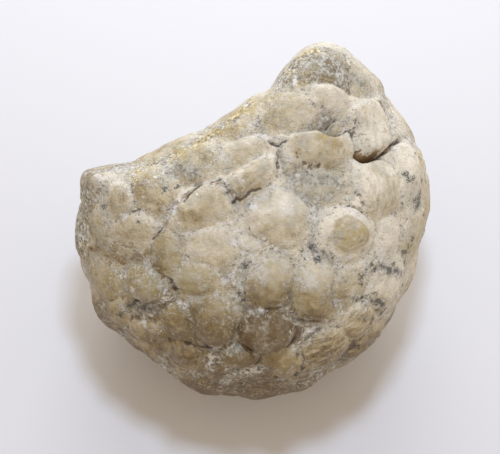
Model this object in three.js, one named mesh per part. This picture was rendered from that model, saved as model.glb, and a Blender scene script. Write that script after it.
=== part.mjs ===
// The fossil calyx of a camerate crinoid: a lopsided dome of swollen calcite plates, one piece of stone.
//
// The shape is worked out in the "face frame": x runs right across the display face, y runs up it and
// z stands out of it, with the origin in the middle of the fossil. Every surface point is a distance
// along a direction from that origin: a smooth body first, then a relief of plates, sutures, cracks and
// the hollow base. Last, the fossil is leaned back to the way it lies and set on a small flat underside.
//
// All lengths are millimetres; +Z is up.

import * as THREE from "three";
import { mergeVertices } from "three/addons/utils/BufferGeometryUtils.js";

const { degToRad, smoothstep, clamp, lerp } = THREE.MathUtils;

// ---------------------------------------------------------------------------------------------
// Driving dimensions
// ---------------------------------------------------------------------------------------------

const SURFACE_DETAIL = 21; // each edge of the starting icosahedron is cut into one more than this
const FACE_CROWDING = 0.22; // how far directions are drawn towards the display face, where detail is

const FACE_LEAN = degToRad(21); // the display face leans back this far from level
const VIEW_DISTANCE = 400; // places on the display face are given as they look from this far in front
const FRONT_DEPTH = 16.5; // from the middle to the top of the display face
const BACK_DEPTH = 16.0; // from the middle to the far side
const UNDERSIDE_TRIM = 1.3; // height worn flat where the fossil lies

const BASE_SIDE = degToRad(118); // the way the hollow base faces, as an angle across the display face
const BASE_TILT = degToRad(19); // the base also turns this far away from the display face
const BASE_RIM_RISE = 4.0; // the rim of the base stands this far in front of the middle
const BASE_DRAFT = Math.tan(degToRad(18)); // how the base face falls back behind its rim
const RIM_SHARPNESS = 12; // higher is a sharper edge between the dome and the base face
const CORNER_ROUNDING = degToRad(36); // behind the display face the outline is evened out over this arc
const CORNER_ROUNDING_DEPTH = 13; // and this far behind the rim it is fully even

const DISH_RADIUS = 14.5; // the hollow in the base
const DISH_DEPTH = 5.2;
const FACET_RADIUS = 3.1; // the round scar of the stem, in the middle of the dish
const FACET_HEIGHT = 0.9;
const LUMEN_RADIUS = 1.1; // the canal in the middle of the stem scar
const LUMEN_DEPTH = 0.9;

const ARM_LOBE_HEIGHT = 1.5; // the rim swells where the hidden arms left it
const ARM_LOBE_SPREAD = degToRad(15);
const ARM_LOBE_ANGLES = [120, 180, 240].map(degToRad); // round the base, from the display face

const PLATE_EDGE = 1.2; // a plate with a gap round it ends at this share of its half size
const SLAB_SQUARENESS = 3.5; // 2 is an oval, higher is nearer to a rectangle
const SUTURE_DEPTH = 0.2; // the groove between two plates, below their edges
const SUTURE_WIDTH = 0.15; // as a share of the way from a plate's middle to its edge
const LIFT_SHARPNESS = 2.5; // higher is a steeper step between plates at different heights
const WARP_LENGTH = 6.0; // plate edges wander over this wavelength
const WARP_DEPTH = 0.25;
const SWELL_LENGTH = 13.0; // the body is uneven over this wavelength
const SWELL_DEPTH = 0.3;
const WAVE_COUNT = 7; // plane waves in one unevenness
const EVENING = 0.55; // how far each point is drawn to the mean height of its neighbours

const HIDDEN_PLATE_REACH = 3.1; // half the width of a plate on the hidden sides
const HIDDEN_PLATE_BULGE = 0.45;
const HIDDEN_PLATE_TRIES = 420;
const BASE_PLATE_FLATNESS = 0.5; // the plates round the base swell only this share of the others

const STONE_COLOUR = 0xb9ac90;

// The outline of the display face: the bowed rim of the base from the left corner up to the rough
// crown, then the long round side back to the corner.
const OUTLINE = [
  [-19.7, 7.2], [-17.2, 8.1], [-14.4, 8.6], [-10.9, 10.1], [-6.4, 12.4], [-2.7, 14.3], [-0.4, 16.0],
  [1.5, 16.9], [3.2, 19.2], [5.2, 21.4], [7.7, 22.4], [10.5, 21.9], [12.8, 19.6], [14.8, 17.8],
  [16.0, 14.7], [18.4, 11.4], [20.0, 8.1], [20.3, 4.6], [19.9, 0.6], [18.4, -4.1], [16.1, -9.2],
  [13.2, -13.3], [8.8, -15.9], [4.8, -18.2], [0.6, -18.8], [-2.1, -18.6], [-5.0, -18.6], [-8.8, -17.0],
  [-12.6, -13.8], [-17.1, -10.7], [-19.2, -6.6], [-20.5, -2.2], [-20.2, 1.2], [-20.1, 5.0],
];

// The plates that show on the display face: where each one's middle is, half its length and width, the
// turn of its length from the x axis in degrees, how far it swells and how far the whole plate is lifted.
// A slab has a flat top and steep sides; without that mark a plate is a round boss.
const FACE_PLATES = [
  { name: "rim_west", at: [-12.1, 5.9], half: [3.1, 2.2], turn: 112, bulge: 0.61, lift: 0 },
  { name: "west_inner", at: [-16.2, 4.2], half: [2.0, 1.5], turn: 80, bulge: 0.54, lift: 0 },
  { name: "west_low", at: [-14.2, 0.5], half: [2.5, 1.8], turn: 10, bulge: 0.61, lift: 0 },
  { name: "west_edge", at: [-18.6, 1.1], half: [2.1, 1.2], turn: 95, bulge: 0.54, lift: 0 },
  { name: "rim_mid", at: [-7.5, 8.8], half: [2.6, 2.3], turn: 20, bulge: 0.41, lift: -0.1 },
  { name: "rim_east", at: [-1.6, 10.0], half: [3.3, 1.5], turn: 25, bulge: 0.41, lift: -0.1 },
  { name: "spindle", at: [-0.3, 6.6], half: [3.4, 1.5], turn: 42, bulge: 1.08, lift: 0.15 },
  { name: "shield_west", at: [-6.1, 3.3], half: [3.2, 2.6], turn: 15, bulge: 0.68, lift: 0.15 },
  { name: "wedge_west", at: [-10.4, -2.2], half: [2.6, 1.8], turn: 100, bulge: 0.68, lift: 0 },
  { name: "pearl", at: [-12.6, -6.0], half: [2.7, 2.0], turn: -5, bulge: 1.4, lift: 0.1 },
  { name: "edge_south_west", at: [-17.8, -5.6], half: [2.8, 1.5], turn: 110, bulge: 0.68, lift: 0 },
  { name: "broad_west", at: [-5.1, -1.4], half: [3.1, 2.6], turn: 30, bulge: 0.54, lift: 0.1 },
  { name: "broad_east", at: [3.1, 2.1], half: [3.5, 3.2], turn: -40, bulge: 0.88, lift: 0.15 },
  { name: "small_mid", at: [-0.8, -0.9], half: [1.3, 0.9], turn: -30, bulge: 0.27, lift: -0.1 },
  { name: "olive_west", at: [-6.7, -5.2], half: [2.5, 2.2], turn: 0, bulge: 0.68, lift: 0 },
  { name: "boss_south_west", at: [-4.9, -10.1], half: [3.1, 2.6], turn: 100, bulge: 1.6, lift: 0.2 },
  { name: "split", at: [-9.1, -10.6], half: [2.4, 2.0], turn: -20, bulge: 0.81, lift: 0 },
  { name: "boss_mid", at: [1.8, -5.6], half: [2.9, 2.6], turn: 80, bulge: 1.35, lift: 0.1 },
  { name: "boss_south", at: [1.1, -11.2], half: [3.1, 2.5], turn: 0, bulge: 1.6, lift: 0.15 },
  { name: "boss_east", at: [7.2, -6.5], half: [3.2, 2.5], turn: 100, bulge: 1.3, lift: 0.1 },
  { name: "target", at: [10.7, 0.1], half: [3.3, 2.9], turn: 0, bulge: 1.08, lift: 0.15 },
  { name: "striated_east", at: [14.7, 5.6], half: [3.7, 2.6], turn: 100, bulge: 1.08, lift: 0.1 },
  { name: "tongue", at: [13.4, 11.9], half: [2.9, 1.75], turn: 96, bulge: 1.0, lift: 0.5, slab: true },
  { name: "broken_cap", at: [7.7, 10.1], half: [3.6, 1.8], turn: 0, bulge: 0.7, lift: 0.4, slab: true },
  { name: "sunken", at: [8.1, 5.8], half: [3.3, 2.0], turn: 0, bulge: 0.2, lift: -0.4 },
  { name: "brow", at: [8.9, 16.0], half: [2.5, 1.5], turn: 0, bulge: 0.68, lift: 0.3 },
  { name: "pit_above_cap", at: [8.9, 13.1], half: [1.5, 1.1], turn: 20, bulge: 0, lift: -0.5 },
  { name: "east_upper", at: [16.9, 13.7], half: [3.2, 1.4], turn: 115, bulge: 0.5, lift: 0.1 },
  { name: "east_edge", at: [18.6, 6.7], half: [4.0, 1.8], turn: 90, bulge: 0.61, lift: 0 },
  { name: "oval_south", at: [-1.9, -14.2], half: [2.2, 1.5], turn: -5, bulge: 1.2, lift: 0 },
  { name: "bean_south", at: [3.3, -15.2], half: [2.4, 1.5], turn: 5, bulge: 1.2, lift: 0 },
  { name: "striated_south", at: [8.5, -13.2], half: [3.3, 1.8], turn: 20, bulge: 0.81, lift: 0 },
  { name: "small_south", at: [6.6, -17.1], half: [1.6, 1.1], turn: 25, bulge: 0.4, lift: 0 },
  { name: "small_south_west", at: [-8.5, -14.0], half: [1.9, 1.3], turn: -10, bulge: 0.68, lift: 0 },
  { name: "edge_south", at: [-12.6, -12.1], half: [2.6, 1.4], turn: -35, bulge: 0.68, lift: 0 },
  { name: "speckled", at: [11.4, -6.1], half: [2.4, 2.1], turn: 0, bulge: 0.54, lift: 0 },
  { name: "striated_south_east", at: [12.4, -10.2], half: [3.1, 1.5], turn: 45, bulge: 0.81, lift: 0 },
  { name: "edge_east_low", at: [15.6, -5.9], half: [3.5, 1.8], turn: 75, bulge: 0.54, lift: 0 },
  { name: "cream_east", at: [15.5, -0.4], half: [2.4, 1.6], turn: 60, bulge: 0.54, lift: 0 },
  { name: "edge_west_low", at: [-16.5, -9.4], half: [2.1, 1.4], turn: -50, bulge: 0.68, lift: 0 },
  { name: "hollow_west", at: [-13.9, -9.2], half: [1.9, 1.1], turn: -15, bulge: 0, lift: -0.4 },
  { name: "rough_south", at: [-5.1, -16.1], half: [2.1, 1.6], turn: 0, bulge: 0.14, lift: -0.3 },
  { name: "rough_south_east", at: [-0.6, -17.1], half: [2.6, 1.1], turn: 0, bulge: 0.14, lift: -0.3 },
  { name: "crown", at: [8.8, 20.0], half: [3.8, 2.6], turn: -15, bulge: 0.34, lift: 0.1 },
  { name: "crown_east", at: [12.1, 18.6], half: [2.3, 1.2], turn: 125, bulge: 0.2, lift: 0 },
  { name: "mottled", at: [3.5, 14.7], half: [3.8, 1.9], turn: 15, bulge: 0.27, lift: -0.15 },
  { name: "strip", at: [-19.9, 4.1], half: [3.5, 0.9], turn: 85, bulge: 0.14, lift: -0.1 },
  { name: "knob", at: [-18.8, 6.7], half: [0.9, 0.6], turn: 20, bulge: 0.54, lift: 0.1 },
];

// The plates of the base: rings round the stem scar, their middles this far from its axis.
const BASE_RINGS = [
  { count: 5, distance: 5.6, half: 2.7, bulge: 0.7, phase: 0.3 },
  { count: 10, distance: 11.0, half: 3.1, bulge: 0.6, phase: 0.1 },
];

// Open cracks and broken edges on the display face, each a run of points with its half width and depth.
const CRACKS = [
  {
    name: "gap_below_tongue",
    run: [[11.6, 10.1], [12.0, 9.0], [12.7, 8.5], [14.2, 8.9], [15.4, 9.7], [15.9, 10.6]],
    half: 0.55,
    depth: 1.7,
  },
  { name: "east_crack", run: [[15.9, 10.7], [17.4, 11.3]], half: 0.4, depth: 0.5 },
  {
    name: "step_below_cap",
    run: [[5.2, 8.6], [6.0, 8.1], [7.9, 8.0], [9.4, 8.1], [11.2, 8.9]],
    half: 0.7,
    depth: 0.5,
  },
  {
    name: "break_above_cap",
    run: [[5.8, 12.7], [7.6, 13.2], [9.0, 11.8], [10.9, 12.7]],
    half: 0.6,
    depth: 0.7,
  },
  {
    name: "west_crack",
    run: [[-6.7, 5.8], [-9.4, 3.8], [-10.4, 2.0], [-12.0, -0.6]],
    half: 0.4,
    depth: 0.4,
  },
  { name: "crevice_below_spindle", run: [[-2.6, 3.9], [-1.2, 4.1], [0.4, 5.3]], half: 0.6, depth: 0.3 },
];

// ---------------------------------------------------------------------------------------------
// Unevenness
// ---------------------------------------------------------------------------------------------

// Directions spread evenly over a sphere, from +z down to -z.
function spreadDirection(index, count) {
  const z = 1 - (2 * index + 1) / count;
  const turn = index * Math.PI * (3 - Math.sqrt(5));
  const across = Math.sqrt(1 - z * z);
  return new THREE.Vector3(across * Math.cos(turn), across * Math.sin(turn), z);
}

// A smooth uneven value from about -1 to 1: plane waves that cross each other.
function unevenness(point, wavelength, seed) {
  let sum = 0;
  for (let i = 0; i < WAVE_COUNT; i++) {
    const stretch = 0.75 + (0.5 * i) / (WAVE_COUNT - 1);
    const along = spreadDirection(i, WAVE_COUNT).dot(point);
    sum += Math.sin((2 * Math.PI * stretch * along) / wavelength + seed * (i + 1.7));
  }
  return (sum * 1.6) / WAVE_COUNT;
}

// ---------------------------------------------------------------------------------------------
// The smooth body
// ---------------------------------------------------------------------------------------------

const outlineKnots = OUTLINE.map(([x, y]) => ({ angle: Math.atan2(y, x), radius: Math.hypot(x, y) }));
outlineKnots.sort((a, b) => a.angle - b.angle);

// The knot at any whole number, going round the outline as often as needed.
function knotAt(index) {
  const count = outlineKnots.length;
  const laps = Math.floor(index / count);
  const knot = outlineKnots[index - laps * count];
  return { angle: knot.angle + laps * 2 * Math.PI, radius: knot.radius };
}

function knotSlope(index) {
  const before = knotAt(index - 1);
  const after = knotAt(index + 1);
  return (after.radius - before.radius) / (after.angle - before.angle);
}

// How far the outline is from the middle, as a smooth curve through its knots.
function outlineRadius(angle) {
  let index = outlineKnots.findLastIndex((knot) => knot.angle <= angle);
  const start = knotAt(index);
  const end = knotAt(index + 1);
  const span = end.angle - start.angle;
  const t = (angle - start.angle) / span;
  return (
    start.radius * (1 + 2 * t) * (1 - t) ** 2 +
    knotSlope(index) * span * t * (1 - t) ** 2 +
    end.radius * t * t * (3 - 2 * t) -
    knotSlope(index + 1) * span * t * t * (1 - t)
  );
}

// The outline with its corners evened out, for the parts behind the display face.
function roundedOutlineRadius(angle) {
  let sum = 0;
  const samples = 7;
  for (let i = 0; i < samples; i++) {
    const turned = angle + CORNER_ROUNDING * ((2 * i) / (samples - 1) - 1);
    sum += outlineRadius(Math.atan2(Math.sin(turned), Math.cos(turned)));
  }
  return sum / samples;
}

// 1 on the side of the hollow base, 0 on the round sides.
function baseShare(angle) {
  return smoothstep(Math.cos(angle - BASE_SIDE), 0.3, 0.75);
}

// 1 on the body's surface, less inside and more outside. "across" is the distance from the z axis.
function bodyLevel(angle, across, z) {
  const share = baseShare(angle);
  const rim = BASE_RIM_RISE * share;
  const power = 2.15 + 0.9 * share;
  const depth = z > rim ? FRONT_DEPTH - rim : BACK_DEPTH + rim;
  const rounding = smoothstep(rim - z, 1, CORNER_ROUNDING_DEPTH);
  const outline = lerp(outlineRadius(angle), rounding > 0 ? roundedOutlineRadius(angle) : 0, rounding);
  const radius = outline * (1 + share) ** (1 / RIM_SHARPNESS);
  const shell = ((across / radius) ** power + (Math.abs(z - rim) / depth) ** power) ** (1 / power);
  const draft = (BASE_DRAFT * share) / Math.max(Math.cos(angle - BASE_SIDE), 0.5);
  const faceRadius = Math.max(radius - Math.max(rim - z, 0) * draft, 1);
  const face = across / faceRadius;
  return (shell ** RIM_SHARPNESS + share * face ** RIM_SHARPNESS) ** (1 / RIM_SHARPNESS);
}

// The distance from the middle to the body's surface along a direction.
function bodyRadius(direction) {
  const angle = Math.atan2(direction.y, direction.x);
  const across = Math.hypot(direction.x, direction.y);
  let near = 4;
  let far = 40;
  for (let step = 0; step < 30; step++) {
    const middle = (near + far) / 2;
    if (bodyLevel(angle, across * middle, direction.z * middle) < 1) near = middle;
    else far = middle;
  }
  return (near + far) / 2;
}

function bodyPoint(direction) {
  return direction.clone().multiplyScalar(bodyRadius(direction));
}

function bodyNormal(direction) {
  const step = 0.02;
  const sideways = new THREE.Vector3(0, 0, 1);
  if (Math.abs(direction.z) > 0.9) sideways.set(1, 0, 0);
  const right = sideways.cross(direction).normalize();
  const up = direction.clone().cross(right);
  const middle = bodyPoint(direction);
  const toRight = bodyPoint(direction.clone().addScaledVector(right, step).normalize()).sub(middle);
  const toUp = bodyPoint(direction.clone().addScaledVector(up, step).normalize()).sub(middle);
  return toRight.cross(toUp).normalize();
}

// How much larger things look than they are, this far in front of the middle.
function nearness(z) {
  return 1 / (1 - z / VIEW_DISTANCE);
}

// The direction of the body point that is seen at x, y on the display face.
function directionOnFace(x, y) {
  const angle = Math.atan2(y, x);
  const wanted = Math.hypot(x, y);
  let low = Math.atan2(BASE_RIM_RISE * baseShare(angle), outlineRadius(angle));
  let high = Math.PI / 2;
  const directionAt = (rise) =>
    new THREE.Vector3(Math.cos(rise) * Math.cos(angle), Math.cos(rise) * Math.sin(angle), Math.sin(rise));
  for (let step = 0; step < 30; step++) {
    const middle = (low + high) / 2;
    const radius = bodyRadius(directionAt(middle));
    if (radius * Math.cos(middle) * nearness(radius * Math.sin(middle)) > wanted) low = middle;
    else high = middle;
  }
  return directionAt((low + high) / 2);
}

// ---------------------------------------------------------------------------------------------
// The plates
// ---------------------------------------------------------------------------------------------

// The base's own frame: its axis points out of the hollow, "towardsFace" lies in the base plane.
const baseAxis = new THREE.Vector3(
  Math.cos(BASE_SIDE) * Math.cos(BASE_TILT),
  Math.sin(BASE_SIDE) * Math.cos(BASE_TILT),
  -Math.sin(BASE_TILT),
);
const baseTowardsFace = new THREE.Vector3(0, 0, 1).addScaledVector(baseAxis, -baseAxis.z).normalize();
const baseSideways = baseAxis.clone().cross(baseTowardsFace);
const baseDistance = bodyRadius(baseAxis);

// The direction of the point that lies at an angle and a distance round the base's axis.
function directionRoundBase(angle, distance) {
  return baseAxis
    .clone()
    .multiplyScalar(baseDistance)
    .addScaledVector(baseTowardsFace, Math.cos(angle) * distance)
    .addScaledVector(baseSideways, Math.sin(angle) * distance)
    .normalize();
}

const armLobes = ARM_LOBE_ANGLES.map((angle) => directionRoundBase(angle, 16));

// A plate at a direction, with its length turned as given, its halves measured on the display face if
// "seenFlat", where a plate near the edge is foreshortened, and on the surface itself if not.
function makePlate(direction, half, turn, bulge, lift, slab, seenFlat) {
  const middle = bodyPoint(direction);
  const normal = bodyNormal(direction);
  const long = new THREE.Vector3(Math.cos(turn), Math.sin(turn), 0);
  long.addScaledVector(normal, -long.dot(normal)).normalize();
  const wide = normal.clone().cross(long);
  const stretch = (axis) => (seenFlat ? 1 / Math.max(Math.hypot(axis.x, axis.y), 0.5) : 1);
  return {
    middle,
    normal,
    long,
    wide,
    halfLong: half[0] * stretch(long),
    halfWide: half[1] * stretch(wide),
    bulge,
    lift,
    slab,
  };
}

const plates = FACE_PLATES.map((plate) =>
  makePlate(
    directionOnFace(...plate.at),
    plate.half,
    degToRad(plate.turn),
    plate.bulge,
    plate.lift,
    plate.slab === true,
    true,
  ),
);

for (const ring of BASE_RINGS) {
  for (let i = 0; i < ring.count; i++) {
    const direction = directionRoundBase((2 * Math.PI * (i + ring.phase)) / ring.count, ring.distance);
    plates.push(makePlate(direction, [ring.half, ring.half], 0, ring.bulge, 0, false, false));
  }
}

// The hidden sides: a plate wherever evenly spread directions still find room for one.
for (let i = 0; i < HIDDEN_PLATE_TRIES; i++) {
  const direction = spreadDirection(i, HIDDEN_PLATE_TRIES);
  const middle = bodyPoint(direction);
  const hasRoom = plates.every((plate) => {
    const reach = Math.sqrt(plate.halfLong * plate.halfWide);
    return middle.distanceTo(plate.middle) > 0.93 * (reach + HIDDEN_PLATE_REACH);
  });
  const inStemScar = middle.clone().addScaledVector(baseAxis, -middle.dot(baseAxis)).length() < 6;
  if (!hasRoom || (inStemScar && middle.dot(baseAxis) > 0)) continue;
  const reach = HIDDEN_PLATE_REACH * (1 + 0.14 * Math.sin(i * 2.4));
  const flatness = direction.dot(baseAxis) > 0.45 ? BASE_PLATE_FLATNESS : 1;
  const bulge = HIDDEN_PLATE_BULGE * flatness * (1 + 0.35 * Math.sin(i * 1.3));
  plates.push(makePlate(direction, [reach * 1.08, reach * 0.94], i * 0.7, bulge, 0, false, false));
}

// How far a point is from a plate's middle, as a share of the plate's half size.
function plateDistance(plate, point) {
  const offset = point.clone().sub(plate.middle);
  const along = offset.dot(plate.long) / plate.halfLong;
  const beside = offset.dot(plate.wide) / plate.halfWide;
  const through = offset.dot(plate.normal) / HIDDEN_PLATE_REACH;
  const squareness = plate.slab ? SLAB_SQUARENESS : 2;
  const sum = [along, beside, through].reduce((total, share) => total + Math.abs(share) ** squareness, 0);
  return sum ** (1 / squareness);
}

// The height of the plates over the smooth body, sutures included.
function plateRelief(point) {
  let nearest = { distance: Infinity };
  let second = Infinity;
  let liftSum = 0;
  let weightSum = 0;
  for (const plate of plates) {
    const distance = plateDistance(plate, point);
    const weight = Math.exp(-LIFT_SHARPNESS * distance * distance);
    liftSum += weight * plate.lift;
    weightSum += weight;
    if (distance < nearest.distance) {
      second = nearest.distance;
      nearest = { distance, plate };
    } else {
      second = Math.min(second, distance);
    }
  }
  // 0 in the plate's middle, 1 where its neighbour begins or at its own edge where there is a gap.
  const reached = (nearest.distance / second) ** 6 + (nearest.distance / PLATE_EDGE) ** 6;
  const outward = Math.min(reached ** (1 / 6), 1);
  const { bulge, slab } = nearest.plate;
  const dome = slab ? (1 - outward ** 5) * (1 - 0.2 * outward ** 2) : (1 - outward ** 2) ** 1.3;
  const groove = Math.exp(-(((1 - outward) / SUTURE_WIDTH) ** 2));
  return liftSum / (weightSum + 1e-9) + bulge * dome - SUTURE_DEPTH * groove;
}

// ---------------------------------------------------------------------------------------------
// Cracks, the hollow base and the arm lobes
// ---------------------------------------------------------------------------------------------

function distanceToRun(run, x, y) {
  let least = Infinity;
  for (let i = 1; i < run.length; i++) {
    const [fromX, fromY] = run[i - 1];
    const [toX, toY] = run[i];
    const stepX = toX - fromX;
    const stepY = toY - fromY;
    const along = ((x - fromX) * stepX + (y - fromY) * stepY) / (stepX ** 2 + stepY ** 2);
    const t = clamp(along, 0, 1);
    least = Math.min(least, Math.hypot(x - fromX - t * stepX, y - fromY - t * stepY));
  }
  return least;
}

function crackRelief(point) {
  const onFace = smoothstep(point.z, 0, 3);
  const seenX = point.x * nearness(point.z);
  const seenY = point.y * nearness(point.z);
  let relief = 0;
  for (const crack of CRACKS) {
    const share = distanceToRun(crack.run, seenX, seenY) / crack.half;
    relief -= onFace * crack.depth * Math.exp(-share * share);
  }
  return relief;
}

// The dish with the stem scar in its middle, as a height along the base's axis.
function baseRelief(point) {
  const height = point.dot(baseAxis);
  if (height <= 0) return 0;
  const distance = Math.sqrt(Math.max(point.lengthSq() - height * height, 0));
  const dish = -DISH_DEPTH * (1 - Math.min(distance / DISH_RADIUS, 1) ** 2) ** 2;
  const facet = FACET_HEIGHT * smoothstep(FACET_RADIUS + 0.4 - distance, 0, 0.8);
  const lumen = -LUMEN_DEPTH * Math.exp(-((distance / LUMEN_RADIUS) ** 4));
  return dish + facet + lumen;
}

// 0 over the stem scar, 1 away from it: no plate crosses the scar.
function plateShare(point) {
  const height = point.dot(baseAxis);
  if (height <= 0) return 1;
  const distance = Math.sqrt(Math.max(point.lengthSq() - height * height, 0));
  return smoothstep(distance, FACET_RADIUS, FACET_RADIUS + 0.8);
}

function armLobeRelief(direction) {
  let relief = 0;
  for (const lobe of armLobes) {
    const away = direction.angleTo(lobe) / ARM_LOBE_SPREAD;
    relief += ARM_LOBE_HEIGHT * Math.exp(-away * away);
  }
  return relief;
}

// The distance from the middle to the finished surface along a direction.
function surfaceRadius(direction) {
  const radius = bodyRadius(direction);
  const point = direction.clone().multiplyScalar(radius);
  const warped = new THREE.Vector3(
    unevenness(point, WARP_LENGTH, 1.1),
    unevenness(point, WARP_LENGTH, 2.3),
    unevenness(point, WARP_LENGTH, 3.7),
  );
  warped.multiplyScalar(WARP_DEPTH).add(point);
  const alongBase = Math.max(direction.dot(baseAxis), 0.5);
  return (
    radius +
    SWELL_DEPTH * unevenness(point, SWELL_LENGTH, 5.2) +
    plateRelief(warped) * plateShare(point) +
    crackRelief(point) +
    baseRelief(point) / alongBase +
    armLobeRelief(direction)
  );
}

// ---------------------------------------------------------------------------------------------
// The calyx as one closed mesh, lying on its flat underside
// ---------------------------------------------------------------------------------------------

// Draws each value towards the mean of its neighbours on the mesh, which takes the teeth off steep steps.
function evenedOut(values, index) {
  const sums = values.map(() => 0);
  const counts = values.map(() => 0);
  for (let i = 0; i < index.count; i += 3) {
    for (let corner = 0; corner < 3; corner++) {
      const here = index.getX(i + corner);
      const neighbour = index.getX(i + ((corner + 1) % 3));
      sums[here] += values[neighbour];
      counts[here] += 1;
    }
  }
  return values.map((value, i) => lerp(value, sums[i] / counts[i], EVENING));
}

function calyxGeometry() {
  const sphere = new THREE.IcosahedronGeometry(1, SURFACE_DETAIL);
  sphere.deleteAttribute("normal");
  sphere.deleteAttribute("uv");
  const geometry = mergeVertices(sphere);
  const position = geometry.getAttribute("position");
  const directions = [];
  for (let i = 0; i < position.count; i++) {
    const direction = new THREE.Vector3().fromBufferAttribute(position, i).normalize();
    direction.z += FACE_CROWDING;
    directions.push(direction.normalize());
  }
  const radii = evenedOut(directions.map(surfaceRadius), geometry.index);
  const leanBack = new THREE.Matrix4().makeRotationX(FACE_LEAN);
  const points = directions.map((direction, i) => direction.multiplyScalar(radii[i]).applyMatrix4(leanBack));
  const bounds = new THREE.Box3().setFromPoints(points);
  const centre = bounds.getCenter(new THREE.Vector3());
  const floor = bounds.min.z + UNDERSIDE_TRIM;
  points.forEach((point, i) => {
    position.setXYZ(i, point.x - centre.x, point.y - centre.y, Math.max(point.z - floor, 0));
  });
  geometry.computeVertexNormals();
  return geometry;
}

const calyxStone = new THREE.MeshStandardMaterial({ color: STONE_COLOUR, roughness: 0.62, metalness: 0 });
const calyx = new THREE.Mesh(calyxGeometry(), calyxStone);
calyx.name = "crinoid_calyx";

const fossil = new THREE.Group();
fossil.add(calyx);

export default fossil;
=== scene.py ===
"""The looks of the crinoid calyx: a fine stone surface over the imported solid, its calcite and matrix
material, and a plain studio.

The shape is worked out in the face frame of the part's source, in millimetres: x runs right across the
display face, y up it and z out of it. A point is a distance along a direction from the middle of the
fossil. The same body, plates, cracks and hollow base as in the solid come first, then what is too fine
for it: narrow cracks, flakes, striations, pits and grain. The finished points are turned and moved to
where the solid lies, in metres.
"""

import math

import bpy
import numpy as np
from mathutils import Matrix, Vector


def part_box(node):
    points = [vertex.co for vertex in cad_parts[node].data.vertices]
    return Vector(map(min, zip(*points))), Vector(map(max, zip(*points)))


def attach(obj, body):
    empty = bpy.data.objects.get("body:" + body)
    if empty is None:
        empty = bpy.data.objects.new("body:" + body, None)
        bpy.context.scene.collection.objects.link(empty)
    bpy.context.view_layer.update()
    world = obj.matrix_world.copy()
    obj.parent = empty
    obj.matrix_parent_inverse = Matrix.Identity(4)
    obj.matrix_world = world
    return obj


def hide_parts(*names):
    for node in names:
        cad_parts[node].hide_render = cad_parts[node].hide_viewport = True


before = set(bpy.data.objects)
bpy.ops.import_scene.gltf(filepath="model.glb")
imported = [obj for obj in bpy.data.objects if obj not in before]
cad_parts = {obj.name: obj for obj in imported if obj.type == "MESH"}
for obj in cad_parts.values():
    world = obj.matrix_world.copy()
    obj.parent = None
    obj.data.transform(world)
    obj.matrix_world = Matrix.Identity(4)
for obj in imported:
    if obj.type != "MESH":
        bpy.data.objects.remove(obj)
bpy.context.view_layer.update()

NODE = "crinoid_calyx"
MM = 0.001

# --- Dimensions, as in the solid: lengths are in millimetres ---

FACE_LEAN = math.radians(21)
VIEW_DISTANCE = 400  # places on the display face are given as they look from this far in front
FRONT_DEPTH = 16.5
BACK_DEPTH = 16.0
FACE_ROUNDNESS = 2.15  # the power of the body's curve: 2 is a round bow, more is squarer
BASE_ROUNDNESS = 3.05
LEAST_RADIUS = 4.0  # the body lies between these two, and is found by halving what is between them
MOST_RADIUS = 40.0
HALVINGS = 30

BASE_SIDE = math.radians(118)
BASE_TILT = math.radians(19)
BASE_RIM_RISE = 4.0
BASE_DRAFT = math.tan(math.radians(18))
RIM_SHARPNESS = 12
CORNER_ROUNDING = math.radians(36)
CORNER_ROUNDING_DEPTH = 13

DISH_RADIUS = 14.5
DISH_DEPTH = 5.2
FACET_RADIUS = 3.1
FACET_HEIGHT = 0.9
LUMEN_RADIUS = 1.1
LUMEN_DEPTH = 0.9
STEM_SCAR_REACH = 6

ARM_LOBE_HEIGHT = 1.5
ARM_LOBE_SPREAD = math.radians(15)
ARM_LOBE_ANGLES = np.radians([120, 180, 240])
ARM_LOBE_DISTANCE = 16

SUTURE_DEPTH = 0.26
SUTURE_WIDTH = 0.15
LIFT_SHARPNESS = 3.5
SLAB_SQUARENESS = 3.5
PLATE_EDGE = 1.2  # a plate standing alone reaches this share of its half size
WARP_LENGTH = 6.0
WARP_DEPTH = 0.25
SWELL_LENGTH = 13.0
SWELL_DEPTH = 0.3
WAVE_COUNT = 7

HIDDEN_PLATE_REACH = 3.1
HIDDEN_PLATE_BULGE = 0.45
HIDDEN_PLATE_TRIES = 420
HIDDEN_PLATE_ROOM = 0.93  # how far apart two plates are, as a share of their reaches together
BASE_PLATE_FLATNESS = 0.5

OUTLINE = np.array([
    [-19.7, 7.2], [-17.2, 8.1], [-14.4, 8.6], [-10.9, 10.1], [-6.4, 12.4], [-2.7, 14.3], [-0.4, 16.0],
    [1.5, 16.9], [3.2, 19.2], [5.2, 21.4], [7.7, 22.4], [10.5, 21.9], [12.8, 19.6], [14.8, 17.8],
    [16.0, 14.7], [18.4, 11.4], [20.0, 8.1], [20.3, 4.6], [19.9, 0.6], [18.4, -4.1], [16.1, -9.2],
    [13.2, -13.3], [8.8, -15.9], [4.8, -18.2], [0.6, -18.8], [-2.1, -18.6], [-5.0, -18.6], [-8.8, -17.0],
    [-12.6, -13.8], [-17.1, -10.7], [-19.2, -6.6], [-20.5, -2.2], [-20.2, 1.2], [-20.1, 5.0],
])

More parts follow.
